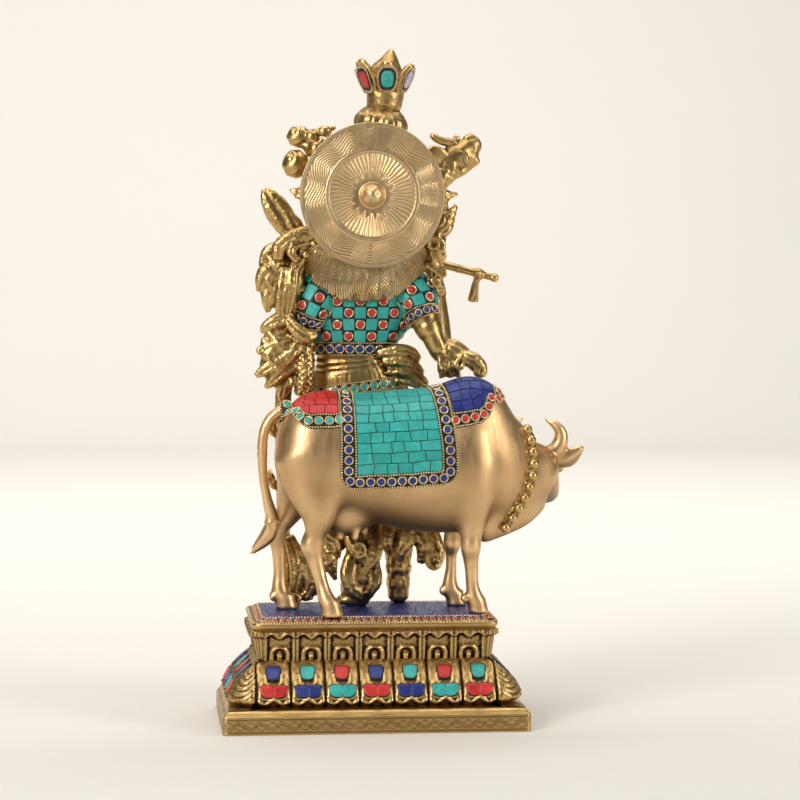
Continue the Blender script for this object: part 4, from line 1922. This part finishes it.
def engraved_lines(r, angle):
    """The disc's waves between its rings, its rays, and the hammered skin of its boss."""
    lobe = np.arcsin(0.93 * np.sin(9 * angle + 0.35 * np.sin(3 * angle))) * (1 + 0.25 * np.sin(4 * angle + 1))
    drift = r + 3.3 * lobe + 0.7 * np.sin(5 * angle + 0.25 * r)
    waves = 0.5 * np.cos(2 * np.pi * drift / (2.15 + 0.12 * np.sin(3 * angle)))
    waves = waves * np.clip(r - 39.5, 0, 1) * np.clip(56.2 - r, 0, 1)
    ray = 58 * angle + 0.6 * np.sin(5 * angle) + 0.35 * np.sin(0.5 * r + 11 * angle)
    start = 16.5 + 2.4 * np.sin(17 * angle + 1) + 1.2 * np.sin(29 * angle)
    rays = 0.4 * np.cos(ray) * np.clip((r - start) / 3, 0, 1) * np.clip(34.8 - r, 0, 1)
    rings = sum(0.4 * np.exp(-(((r - at) / 0.45) ** 2)) for at in DISC_RINGS)
    hammer = np.cos(0.6 * r * np.cos(angle) + 1) * np.cos(0.55 * r * np.sin(angle) - 0.6)
    return waves + rays + rings + 0.35 * hammer * np.clip(9 - r, 0, 1)


class DiscPiece(bpy.types.Operator):
    """The engraved halo disc behind the head"""

    bl_idname = "statue.disc"
    bl_label = "Halo disc"

    def execute(self, context):
        angle = np.linspace(0, 2 * np.pi, DISC_COLUMNS, endpoint=False)
        radius = DISC["radius"]
        face = np.concatenate([np.linspace(1.0, 14, 18), np.linspace(14.6, radius - 0.1, 78)])
        back = [(radius, -0.2), (radius, 1.0), (radius - 1, 1.6), (37, 0.2), (12, 1.8), (6, 2.0), (6, 9)]
        back = np.repeat(np.array(back, float)[..., None], DISC_COLUMNS, axis=-1)
        r, turn = np.meshgrid(face, angle, indexing="ij")
        lines = engraved_lines(r, turn)
        radii = np.concatenate([r, back[:, 0]])
        depth = np.concatenate([-smooth_face(r) - lines, back[:, 1]])
        x, y, z = DISC["centre"]
        rows = np.stack([x + radii * np.cos(angle), y + depth, z + radii * np.sin(angle)], axis=-1)
        points, faces = closed_rings(rows, (x, y - DISC_HEIGHTS[0], z), (x, y + 9, z))
        hollow = np.zeros(len(points))
        hollow[: r.size] = -0.6 * lines.ravel() - 0.08
        piece = new_mesh("halo_disc_engraved", points, faces, finishes()["pale"], {"hollow": hollow})
        make_outward(piece)
        settle(piece, "pale_brass", "halo_disc")
        return {"FINISHED"}


# The lotus plinth


PLINTH = {"half": (126, 77), "slab": 15, "lower": (98, 49), "upper": (91, 42), "top": (101.5, 57.5)}
PETALS = (7, 4)  # along the length and along the depth
PLATFORM = {"level": 91.5, "inset": 2.2, "margin": 7.6, "end": 9.5}
SLOPE = 0.46  # fall of the platform's border, in mm for each mm
HALF_STONE = [(5.2, 6.4), (5.5, -1), (4.6, -4.6), (2.2, -6.6)]
SINGLE_STONE = [(-5.2, 6.4), *HALF_STONE, *((-x, z) for x, z in HALF_STONE[:0:-1])]
PAIR_STONE = [(-11, 2.6), (-10, 4.6), (-5, 5.0), (-0.3, 4.4), (-0.3, -4.4), (-3, -5.6), (-7, -5), (-10.4, -2)]
# The outline and the height of each kind of stone in the lower petals
PETAL_STONES = {
    "single": (SINGLE_STONE, 47.6),
    "left": (PAIR_STONE, 34.4),
    "right": ([(-x, z) for x, z in PAIR_STONE[::-1]], 34.4),
}
SINGLE_KINDS = "lapis turquoise coral lapis turquoise coral turquoise".split()
PAIR_KINDS = "coral lapis turquoise coral lapis turquoise coral".split()
ROUND = 14  # columns of points round each corner
# The height and the way out of each tier's outline
LOWER_LINE = [(19.2, 12), (20.4, 16), (22.5, 18), (25, 21.4), (28, 22)]
LOWER_LINE += [(33, 20.4), (40, 15.6), (47, 9.2), (53, 2), (57, -3)]
# The way in and the height of the outlines of the step and of the top slab
STEP_LINE = [(2, 15.5), (3, 16.6), (4.2, 18.4), (5.6, 19.4), (8, 19.9), (12, 20.2), (24, 20.4)]
TOP_LINE = [(6, 80), (3, 82.4), (0.8, 84), (0, 86), (0, 87.4), (0.5, 88), (1.6, 88.1), (9, 91.5), (14, 91.6)]
UPPER_LINE = [(53.5, 3.5), (56, 4.4), (60, 5.4), (67, 6.6), (74, 7.6), (78, 8.2), (81.4, 7.8), (83.4, 3.5)]


def plinth_sides(half):
    """For each side of a tier: its start, its way along and out, its half length and its petals."""
    hx, hy = half
    rows = [
        ((-hx, -hy), (1, 0), (0, -1), hx, PETALS[0]),
        ((hx, -hy), (0, 1), (1, 0), hy, PETALS[1]),
        ((hx, hy), (-1, 0), (0, 1), hx, PETALS[0]),
        ((-hx, hy), (0, -1), (-1, 0), hy, PETALS[1]),
    ]
    return [(*(np.array([*place, 0.0]) for place in row[:3]), *row[3:]) for row in rows]


def tier_columns(half, columns):
    """For every column of points round a tier: its base, its way out, its place across its petal and whether
    it's on a corner."""
    base, out, across, corner = [], [], [], []
    for start, along, away, reach, count in plinth_sides(half):
        steps = count * columns
        for k in range(steps + 1):
            base.append(start + along * 2 * reach * k / steps)
            out.append(away)
            across.append(-1 + 2 * (k % columns) / columns if k < steps else 1)
            corner.append(0)
        for k in range(1, ROUND):
            turn = 0.5 * np.pi * k / ROUND
            base.append(start + along * 2 * reach)
            out.append(away * math.cos(turn) + along * math.sin(turn))
            across.append(-1 + 2 * k / ROUND)
            corner.append(1)
    return np.array(base), np.array(out), np.array(across), np.array(corner)


def near(value, middle, width):
    """A soft bump about a middle value."""
    return np.exp(-(((value - middle) / width) ** 2))


def pill(x, z, wide, tall, corner):
    """Distance outside a rounded rectangle about the origin."""
    a = np.abs(x) - wide + corner
    b = np.abs(z) - tall + corner
    return np.hypot(np.maximum(a, 0), np.maximum(b, 0)) - corner + np.minimum(np.maximum(a, b), 0)


def rough(x, z, amount):
    """The uneven skin of a rough casting."""
    first = np.sin(1.7 * x + 2.1 * np.sin(0.9 * z)) * np.sin(1.9 * z + 1.3 * np.sin(1.1 * x))
    return amount * (first + 0.5 * np.sin(3.7 * x + 1.9 * z) * np.sin(3.1 * z - 1.2 * x))


def lower_petal(u, z, corner, along):
    """The relief of the lower petals: double ridges down their sides, lobed lips and cradles for stones."""
    x = 14 * u
    gap = -2.6 * near(np.abs(u), 1, 0.07) * np.clip((z - 20) / 4, 0, 1)
    bend = 0.06 * np.sin(0.3 * z)
    ridges = 1.1 * near(np.abs(u), 0.84 + bend, 0.05) + 0.6 * near(np.abs(u), 0.7 + bend, 0.035)
    ridges = ridges * np.clip((z - 27) / 2, 0, 1)
    edge = 26.6 + 1.7 * np.cos(2 * np.pi * u) - 1.6 * np.abs(u)
    lip = 2.4 * near(z, edge, 1.25) * np.clip((0.93 - np.abs(u)) / 0.06, 0, 1)
    under = np.clip((edge - 1 - z) / 1.5, 0, 1)
    flutes = under * (1.6 * np.abs(np.cos(1.5 * np.pi * u)) - 3.2)
    pair = pill(np.abs(x) - 5.4, z - 34.2 - 0.05 * x * x / 4, 5.6, 5.2, 3)
    single = pill(x, z - 47.4, 5.5, 7.6, 3.4)
    cradle = 1.1 * near(pair, 0.9, 0.7) * (z < 38) + 1.3 * near(single, 1.0, 0.75) * (z < 47)
    cradle = cradle - 0.8 * (single < 0)
    hatch = 0.22 * np.cos(2 * np.pi * x / 1.5) * near(z, edge, 1.6)
    petal = gap + ridges + lip + flutes + cradle + hatch + rough(x + along, z, 0.22)
    ribs = 0.8 * np.cos(2 * np.pi * (z + 8 * np.cos(0.5 * np.pi * u)) / 4.4) * (z > 27)
    fringe = 0.8 * np.cos(6 * np.pi * u) * near(z, 24.5, 2.6) - 2.2 * np.clip((23 - z) / 2, 0, 1)
    return np.where(corner > 0, ribs + fringe + gap + rough(9 * u, z, 0.2), petal)


def upper_petal(u, z, corner, along):
    """The relief of the upper petals: a niche with beaded sides, an arch with a tongue, and a hatched lip."""
    x = 13 * u
    inside = np.clip((0.84 - np.abs(u)) / 0.06, 0, 1)
    niche = -2.4 * inside * np.clip((z - 53) / 3, 0, 1)
    beads = 0.55 + 0.45 * np.cos(2 * np.pi * z / 2.1)
    side = 1.5 * near(np.abs(u), 0.9, 0.05) * beads - 1.2 * near(np.abs(u), 1, 0.025)
    radius, spring = 6.7, 60.5
    outside = np.where(z > spring, np.hypot(x, z - spring), np.abs(x)) - radius
    turn = np.where(z > spring, np.arctan2(z - spring, np.abs(x)) * radius, z - spring)
    arch = 2.9 * near(outside, 0, 1.4) * (0.85 + 0.15 * np.cos(2 * np.pi * turn / 1.7))
    cave = -1.2 * (outside < -1.4) + 2.4 * near(x, 0, 1.2) * (z < 60)
    cave = cave + 1.3 * near(np.hypot(x, z - 60.6), 0, 1.7)
    edge = 75.4 - 1.8 * np.cos(2 * np.pi * u) + 1.2 * np.abs(u)
    lip = np.clip((z - edge) / 0.8, 0, 1) * np.clip((82 - z) / 1.5, 0, 1)
    hatch = 0.35 * np.cos(2 * np.pi * x / 1.6) + 0.8 * near(z, edge + 1.2, 1)
    lip = lip * (4.2 + hatch - 2.4 * near(np.abs(u), 1, 0.14))
    petal = niche + side + arch + cave + lip + rough(x + along, z, 0.28)
    leaf = 0.9 * np.cos(4 * np.pi * u) + 2.6 * np.clip((z - 75) / 2, 0, 1) * np.clip((82 - z) / 1.5, 0, 1)
    return np.where(corner > 0, leaf + 0.4 * beads * near(np.abs(u), 0.5, 0.1), petal)


def plinth_piece(name, points, faces, shade_rounds, change=None):
    """Part of the plinth's casting, dark in its hollows. change may alter how deep its points seem."""
    hollow = hollows(points, faces[0], shade_rounds)
    if change:
        hollow = change(hollow)
    piece = new_mesh(name, points, faces, finishes()["aged"], {"hollow": hollow})
    settle(piece, "antique_brass", "lotus_plinth")


def tier_mesh(name, half, columns, line, relief, rows):
    """One tier of petals as a closed shell."""
    base, out, across, corner = tier_columns(half, columns)
    path = between(np.array([(z, away, 0) for z, away in line], float), 200)
    path = spaced(path, path_length(path)[-1] / rows)
    z = path[:, 0][:, None]
    along = 31.7 * np.floor(np.arange(len(across)) / columns)
    away = path[:, 1][:, None] + relief(across[None], z, corner[None], along[None])
    away[0] = path[0, 1]
    away[-1] = path[-1, 1]
    points = base[None] + out[None] * away[..., None]
    points[..., 2] = z
    plinth_piece(name, *closed_rings(points, (0, 0, line[0][0]), (0, 0, line[-1][0])), 6)


def block_ring(half, radius, step):
    """Points round a rectangle with rounded corners, their ways out and how far along they are."""
    hx, hy = half[0] - radius, half[1] - radius
    corners = [((hx, -hy), -0.5), ((hx, hy), 0.0), ((-hx, hy), 0.5), ((-hx, -hy), 1.0)]
    path = []
    for (x, y), start in corners:
        for k in range(7):
            turn = np.pi * (start + 0.5 * k / 6)
            path.append((x + radius * np.cos(turn), y + radius * np.sin(turn), 0))
    path.append(path[0])
    ring = spaced(path, step)[:-1]
    run = np.roll(ring, -1, axis=0) - np.roll(ring, 1, axis=0)
    out = unit(np.stack([run[:, 1], -run[:, 0]], axis=-1))
    return ring[:, :2], out, np.arange(len(ring)) * step


def engraving(along, z):
    """Grooves of a band of running waves between two lines."""
    lines = near(z, 2.4, 0.35) + near(z, 12.8, 0.35)
    turn = 2 * np.pi * along / 17.7
    crest = 2.5 * np.sin(turn) + 0.5 * np.sin(2 * turn)
    waves = sum(near(z, 7.6 + crest + shift, 0.3) for shift in (-1.3, 0, 1.3))
    above = near(z, 9.6 - 1.4 * np.cos(2 * turn - 0.4), 0.3) * (np.sin(turn) < -0.1)
    below = near(z, 5.6 + 1.4 * np.cos(2 * turn - 0.4), 0.3) * (np.sin(turn) > 0.1)
    return lines + (waves + above + below) * (z > 3.2) * (z < 12)


class PlinthPieces(bpy.types.Operator):
    """The lotus plinth: its engraved slab, two tiers of petals, its top slab and the stones set into them"""

    bl_idname = "statue.plinth"
    bl_label = "Lotus plinth"

    def execute(self, context):
        self.slab()
        tier_mesh("lower_petals", PLINTH["lower"], 18, LOWER_LINE, lower_petal, 54)
        tier_mesh("upper_petals", PLINTH["upper"], 19, UPPER_LINE, upper_petal, 48)
        self.top()
        rng = np.random.default_rng(SEED + 2)
        self.petal_stones(rng)
        self.platform(rng)
        return {"FINISHED"}

    def stacked(self, xy, levels):
        """Points and faces of rings that lie at the given levels."""
        levels = np.asarray(levels, float)
        z = np.broadcast_to(levels[:, None, None], (*xy.shape[:2], 1))
        return closed_rings(np.concatenate([xy, z], axis=-1), (0, 0, levels[0]), (0, 0, levels[-1]))

    def slab(self):
        """The plain block at the foot, with its engraved band and its step."""
        ring, out, along = block_ring(PLINTH["half"], 4, 1.2)
        heights = np.concatenate([[0, 0.5], np.linspace(1.2, 13.8, 27), [14.6, 15]])
        inset = np.interp(heights, [0, 0.5, 14.4, 15], [0.8, 0.2, 0.2, 1.0])[:, None]
        cut = engraving(along[None], heights[:, None])
        rows = [ring[None] - out[None] * (inset + 0.5 * cut)[..., None]]
        levels = list(heights)
        for back, level in STEP_LINE:
            rows.append((ring - out * (back + 0.3 * np.sin(along / 6)[:, None]))[None])
            levels.append(level)

        def darken(hollow):
            hollow = np.clip(hollow, -0.5, 0.12)
            hollow[: cut.size] += 0.4 * cut.ravel() - 0.1
            return hollow

        plinth_piece("engraved_slab", *self.stacked(np.concatenate(rows), levels), 4, darken)

    def top(self):
        """The top slab that carries the platform."""
        ring, out, _ = block_ring(PLINTH["top"], 8, 2.4)
        inset, levels, _ = spaced([(a, b, 0) for a, b in TOP_LINE], 0.9).T
        xy = ring[None] - out[None] * inset[:, None, None]
        plinth_piece("top_slab", *self.stacked(xy, levels), 4)

    def petal_stones(self, rng):
        """One stone and a pair of stones in every lower petal."""
        heights, reach = np.array(LOWER_LINE, float).T
        for key, (outline, z) in PETAL_STONES.items():
            kinds = SINGLE_KINDS if key == "single" else PAIR_KINDS
            fall = np.interp(z + 4, heights, reach) - np.interp(z - 4, heights, reach)
            slope = unit(np.array([fall, 8.0]))
            rows = []
            for start, along, away, half, count in plinth_sides(PLINTH["lower"]):
                swell = (1.0, 1.0, 1.0) if count == PETALS[0] else (0.86, 1.08, 1.0)
                facing = away * slope[1] - np.array([0, 0, slope[0]])
                for petal in range(count):
                    middle = start + along * (2 * half) * (petal + 0.5) / count
                    place = middle + away * (np.interp(z, heights, reach) + 0.4) + (0, 0, z)
                    rows.append((kinds[petal], place, facing, (0.0, 0.0, 1.0), swell))
            gem = slab_pattern(key + "_gem", outline, 0.0, 1.1)
            bedding = slab_pattern(key + "_bed", outline, 0.9, 0.5)
            lay_mixed("petal_" + key, gem, bedding, rows, rng)

    def platform(self, rng):
        """The lapis field on top, its border of small coral chips in wire diamonds, and its rows of beads."""
        inner = np.array(PLINTH["top"]) - PLATFORM["inset"]
        margin = PLATFORM["margin"]
        ground = PLATFORM["level"]
        rim = np.array([0, 1.5, 3, 4.5, 6, margin, margin + 1.5])
        places = []
        for half in inner:
            field = np.linspace(12 - half, half - 12, 40)
            places.append(np.concatenate([rim - half, field, half - rim[::-1]]))
        u, v = np.meshgrid(*places, indexing="ij")
        inset = np.minimum(inner[0] - np.abs(u), inner[1] - np.abs(v))
        points = np.stack([u, v, ground - SLOPE * np.clip(margin - inset, 0, margin)], axis=-1)
        flat = Wrap(points, np.broadcast_to((0.0, 0.0, 1.0), points.shape))
        bed("platform_bed", flat, 0.35, 1.0, "plinth_stones", rows=52, columns=40)
        du = margin / flat.long
        dv = margin / flat.wide
        end = PLATFORM["end"] / flat.long
        cells = courses(flat, du + end, 1 - du - end, dv, 1 - dv, 7.5, 10.5, rng)
        tiles("platform_chips", flat, cells, 0.2, 0.6, 0.5, "lapis", rng, 1)
        spans = ((du, du + end), (1 - du - end, 1 - du))
        cells = np.concatenate([courses(flat, *span, dv, 1 - dv, 6.5, 4.8, rng) for span in spans])
        tiles("platform_ends", flat, cells, 0.2, 0.6, 0.5, "coral", rng, 1)
        loops = []
        for inset in (-0.6, 7.2):
            path, _, _ = block_ring(inner - inset, 6, 0.8)
            level = ground + 0.6 - SLOPE * (margin - inset)
            loops.append(np.column_stack([np.append(path, path[:1], axis=0), np.full(len(path) + 1, level)]))
        bead_rows("platform_beads", loops, 1.15, 2.35)
        path, out, _ = block_ring(inner - 3.6, 5, 6.2)
        places = np.column_stack([path, np.full(len(path), ground + 0.5 - SLOPE * (margin - 3.6))])
        heading = np.column_stack([out + np.roll(out, 1, axis=1) * (1, -1), np.zeros(len(out))])
        chip = turned_pattern("chip_pattern", [(1.9, -0.5), (1.9, 0.35), (1.5, 0.6)], 4)
        wire = ring_pattern("diamond_pattern", 2.3, 3.2, 0.6, 4)
        up = unit(np.column_stack([out * SLOPE, np.ones(len(out))]))
        lay("platform_diamonds", wire, places, up, heading, 1.0, "wire", rng)
        lay("platform_small_chips", chip, places, up, heading, 1.0, "coral", rng)


# Sizes and colours that a user may change


def colour(name, about, value):
    """A colour setting."""
    return bpy.props.FloatVectorProperty(
        name=name, description=about, subtype="COLOR", default=value, min=0, max=1
    )


class StatueColours(bpy.types.PropertyGroup):
    """Colours of the statue's finishes."""

    brass: colour("Carved brass", "The lit tone of the carved brass", (0.62, 0.42, 0.17))
    brass_shade: colour("Carved brass shade", "The deeper tone of the carved brass", (0.42, 0.27, 0.10))
    grime: colour("Grime", "The dark patina in the hollows", (0.035, 0.022, 0.010))
    satin: colour("Satin brass", "The brushed brass of the cow", (0.70, 0.47, 0.24))
    satin_shade: colour("Satin brass shade", "The deeper tone of the brushed brass", (0.58, 0.37, 0.18))
    disc: colour("Disc brass", "The pale brass of the halo disc", (0.66, 0.50, 0.28))
    disc_line: colour("Disc lines", "The engraved lines of the halo disc", (0.22, 0.14, 0.06))
    wire: colour("Wire brass", "The bright wire rings and beads about the stones", (0.86, 0.72, 0.46))
    turquoise: colour("Turquoise", "The green-blue stone chips", (0.03, 0.38, 0.345))
    coral: colour("Coral", "The red stone chips", (0.55, 0.022, 0.018))
    lapis: colour("Lapis", "The dark blue stone chips", (0.014, 0.028, 0.20))
    lilac: colour("Lilac", "The pale stone in the finial", (0.52, 0.44, 0.56))
    resin: colour("Resin", "The black bedding of the chips", (0.012, 0.010, 0.009))


class StatueSizes(bpy.types.PropertyGroup):
    """Sizes of the scene round the statue."""

    floor: bpy.props.FloatProperty(
        name="Floor", description="Half width of the floor", default=6.0, min=1.0, unit="LENGTH"
    )
    lens: bpy.props.FloatProperty(
        name="Lens", description="Focal length of the camera in mm", default=129.96, min=20
    )


class CowPiece(bpy.types.Operator):
    """The cow, brushed smooth, with its necklace of round bells"""

    bl_idname = "statue.cow"
    bl_label = "Cow"

    def execute(self, context):
        cast_piece(the_cow(), "cow_cast", "satin", "cow", slot="satin_brass", rounds=7, under=1.9)
        cast_piece(garland_cast(the_cow().necklace), "cow_garland", "carved", "cow")
        return {"FINISHED"}


class FigurePiece(bpy.types.Operator):
    """The figure from his feet to his neck, with his arms, skirt and scarf"""

    bl_idname = "statue.figure"
    bl_label = "Figure"

    def execute(self, context):
        cast_piece(figure_cast(), "figure_cast", "carved", "flute_player")
        return {"FINISHED"}


class HeadPiece(bpy.types.Operator):
    """Head, hair, crown and finial"""

    bl_idname = "statue.head"
    bl_label = "Head and crown"

    def execute(self, context):
        cast_piece(head_cast(), "head_cast", "carved", "flute_player")
        cast_piece(hair_cast(), "hair_cast", "hair", "flute_player", flow=hair_flow)
        cup_stones()
        return {"FINISHED"}


class FoliagePiece(bpy.types.Operator):
    """The leafy column and the leafy arch with its animal head"""

    bl_idname = "statue.foliage"
    bl_label = "Foliage"

    def execute(self, context):
        cast_piece(foliage_cast(), "foliage_cast", "carved", "flute_player")
        cast_piece(crest_cast(), "crest_cast", "carved", "flute_player")
        return {"FINISHED"}


class FlutePiece(bpy.types.Operator):
    """The flute with its knob and tassel"""

    bl_idname = "statue.flute"
    bl_label = "Flute"

    def execute(self, context):
        cast_piece(flute_cast(), "flute_cast", "carved", "flute", slot="satin_brass", rounds=7)
        return {"FINISHED"}


CAMERA = {"azimuth": math.radians(5), "away": 2.4, "height": 0.40, "aim": 0.267, "shift": 0.0379}
# Name, place, what it is turned to, width and height in metres, and watts
LIGHTS = [
    ("left_softbox", (-1.4, -1.5, 1.2), (0, 0, 0.28), 0.7, 1.2, 29),
    ("right_softbox", (1.7, -1.1, 0.8), (0, 0, 0.28), 0.45, 1.2, 15),
    ("top_softbox", (0.0, -0.3, 2.1), (0, 0.1, 0.0), 1.8, 1.0, 15),
    ("backdrop_light", (0.0, 1.2, 2.6), (0, 3.6, 0.4), 4.5, 1.2, 124),
]
WARM_WHITE = (1.0, 0.972, 0.93)
PALE_FLOOR = ((0.80, 0.775, 0.73), (0.82, 0.795, 0.75))
SKY = {"colour": (0.95, 0.91, 0.84), "strength": 0.12}
CURVE = (3.1, 1.6, 3.2)  # where the backdrop begins to rise, how deep its curve is and how tall


class StagePiece(bpy.types.Operator):
    """The floor, the backdrop, the soft lights and the camera"""

    bl_idname = "statue.stage"
    bl_label = "Stage"

    def execute(self, context):
        sizes = context.scene.statue_sizes
        half = sizes.floor
        start, deep, tall = CURVE
        depth = np.concatenate([np.linspace(-half, start - 0.1, 16), np.linspace(start, start + deep, 30)])
        share = np.clip((depth - start) / deep, 0, 1)
        rise = tall * (1 - np.sqrt(1 - share**2))
        points = [[x / MM, y / MM, z / MM] for y, z in zip(depth, rise) for x in (-half, half)]
        paint = Paint("pale_floor")
        tone = paint.blend(paint.noise(2.0, 2), *(rgba(tone) for tone in PALE_FLOOR))
        material = paint.finish(Base_Color=tone, Roughness=0.9)
        new_mesh("floor", points, grid_faces(len(depth), 2), material)
        self.lights()
        camera = bpy.data.cameras.new("camera")
        camera.lens = sizes.lens
        camera.shift_x = CAMERA["shift"]
        eye = bpy.data.objects.new("camera", camera)
        turn = CAMERA["azimuth"]
        away = CAMERA["away"]
        eye.location = (-math.sin(turn) * away, -math.cos(turn) * away, CAMERA["height"])
        down = math.atan2(CAMERA["height"] - CAMERA["aim"], away)
        eye.rotation_euler = (math.radians(90) - down, 0, -turn)
        context.scene.collection.objects.link(eye)
        context.scene.camera = eye
        return {"FINISHED"}

    def lights(self):
        """Large soft lights about the statue, and a pale sky."""
        for name, place, target, width, height, power in LIGHTS:
            light = bpy.data.lights.new(name, "AREA")
            light.shape = "RECTANGLE"
            light.size = width
            light.size_y = height
            light.energy = power
            light.color = WARM_WHITE
            lamp = bpy.data.objects.new(name, light)
            lamp.location = place
            aim = np.array(target) - np.array(place)
            lamp.rotation_euler = (
                math.atan2(math.hypot(aim[0], aim[1]), -aim[2]),
                0,
                math.atan2(aim[1], aim[0]) - math.pi / 2,
            )
            bpy.context.scene.collection.objects.link(lamp)
        world = bpy.data.worlds.new("pale_sky")
        world.use_nodes = True
        sky = world.node_tree.nodes["Background"]
        sky.inputs["Color"].default_value = rgba(SKY["colour"])
        sky.inputs["Strength"].default_value = SKY["strength"]
        bpy.context.scene.world = world
        bpy.context.scene.view_settings.view_transform = "Standard"


PIECES = [
    PlinthPieces,
    CowPiece,
    ClothPieces,
    FigurePiece,
    BlousePieces,
    HeadPiece,
    FoliagePiece,
    DiscPiece,
    FlutePiece,
    StagePiece,
]


class StatuePanel(bpy.types.Panel):
    """The statue's pieces, sizes and colours"""

    bl_idname = "STATUE_PT_pieces"
    bl_label = "Statue"
    bl_space_type = "VIEW_3D"
    bl_region_type = "UI"
    bl_category = "Statue"

    def draw(self, context):
        column = self.layout.column()
        for piece in PIECES:
            column.operator(piece.bl_idname)
        for group in (context.scene.statue_sizes, context.scene.statue_colours):
            for key in group.__annotations__:
                column.prop(group, key)


CLASSES = [StatueColours, StatueSizes, *PIECES, StatuePanel]


def register():
    """Registers the classes and the settings."""
    for kind in CLASSES:
        bpy.utils.register_class(kind)
    bpy.types.Scene.statue_colours = bpy.props.PointerProperty(type=StatueColours)
    bpy.types.Scene.statue_sizes = bpy.props.PointerProperty(type=StatueSizes)


def unregister():
    """Takes the classes and the settings away again."""
    del bpy.types.Scene.statue_sizes
    del bpy.types.Scene.statue_colours
    for kind in reversed(CLASSES):
        bpy.utils.unregister_class(kind)


def main():
    """Builds every piece in order."""
    register()
    for piece in PIECES:
        group, name = piece.bl_idname.split(".")
        getattr(getattr(bpy.ops, group), name)()


if __name__ == "__main__":
    main()
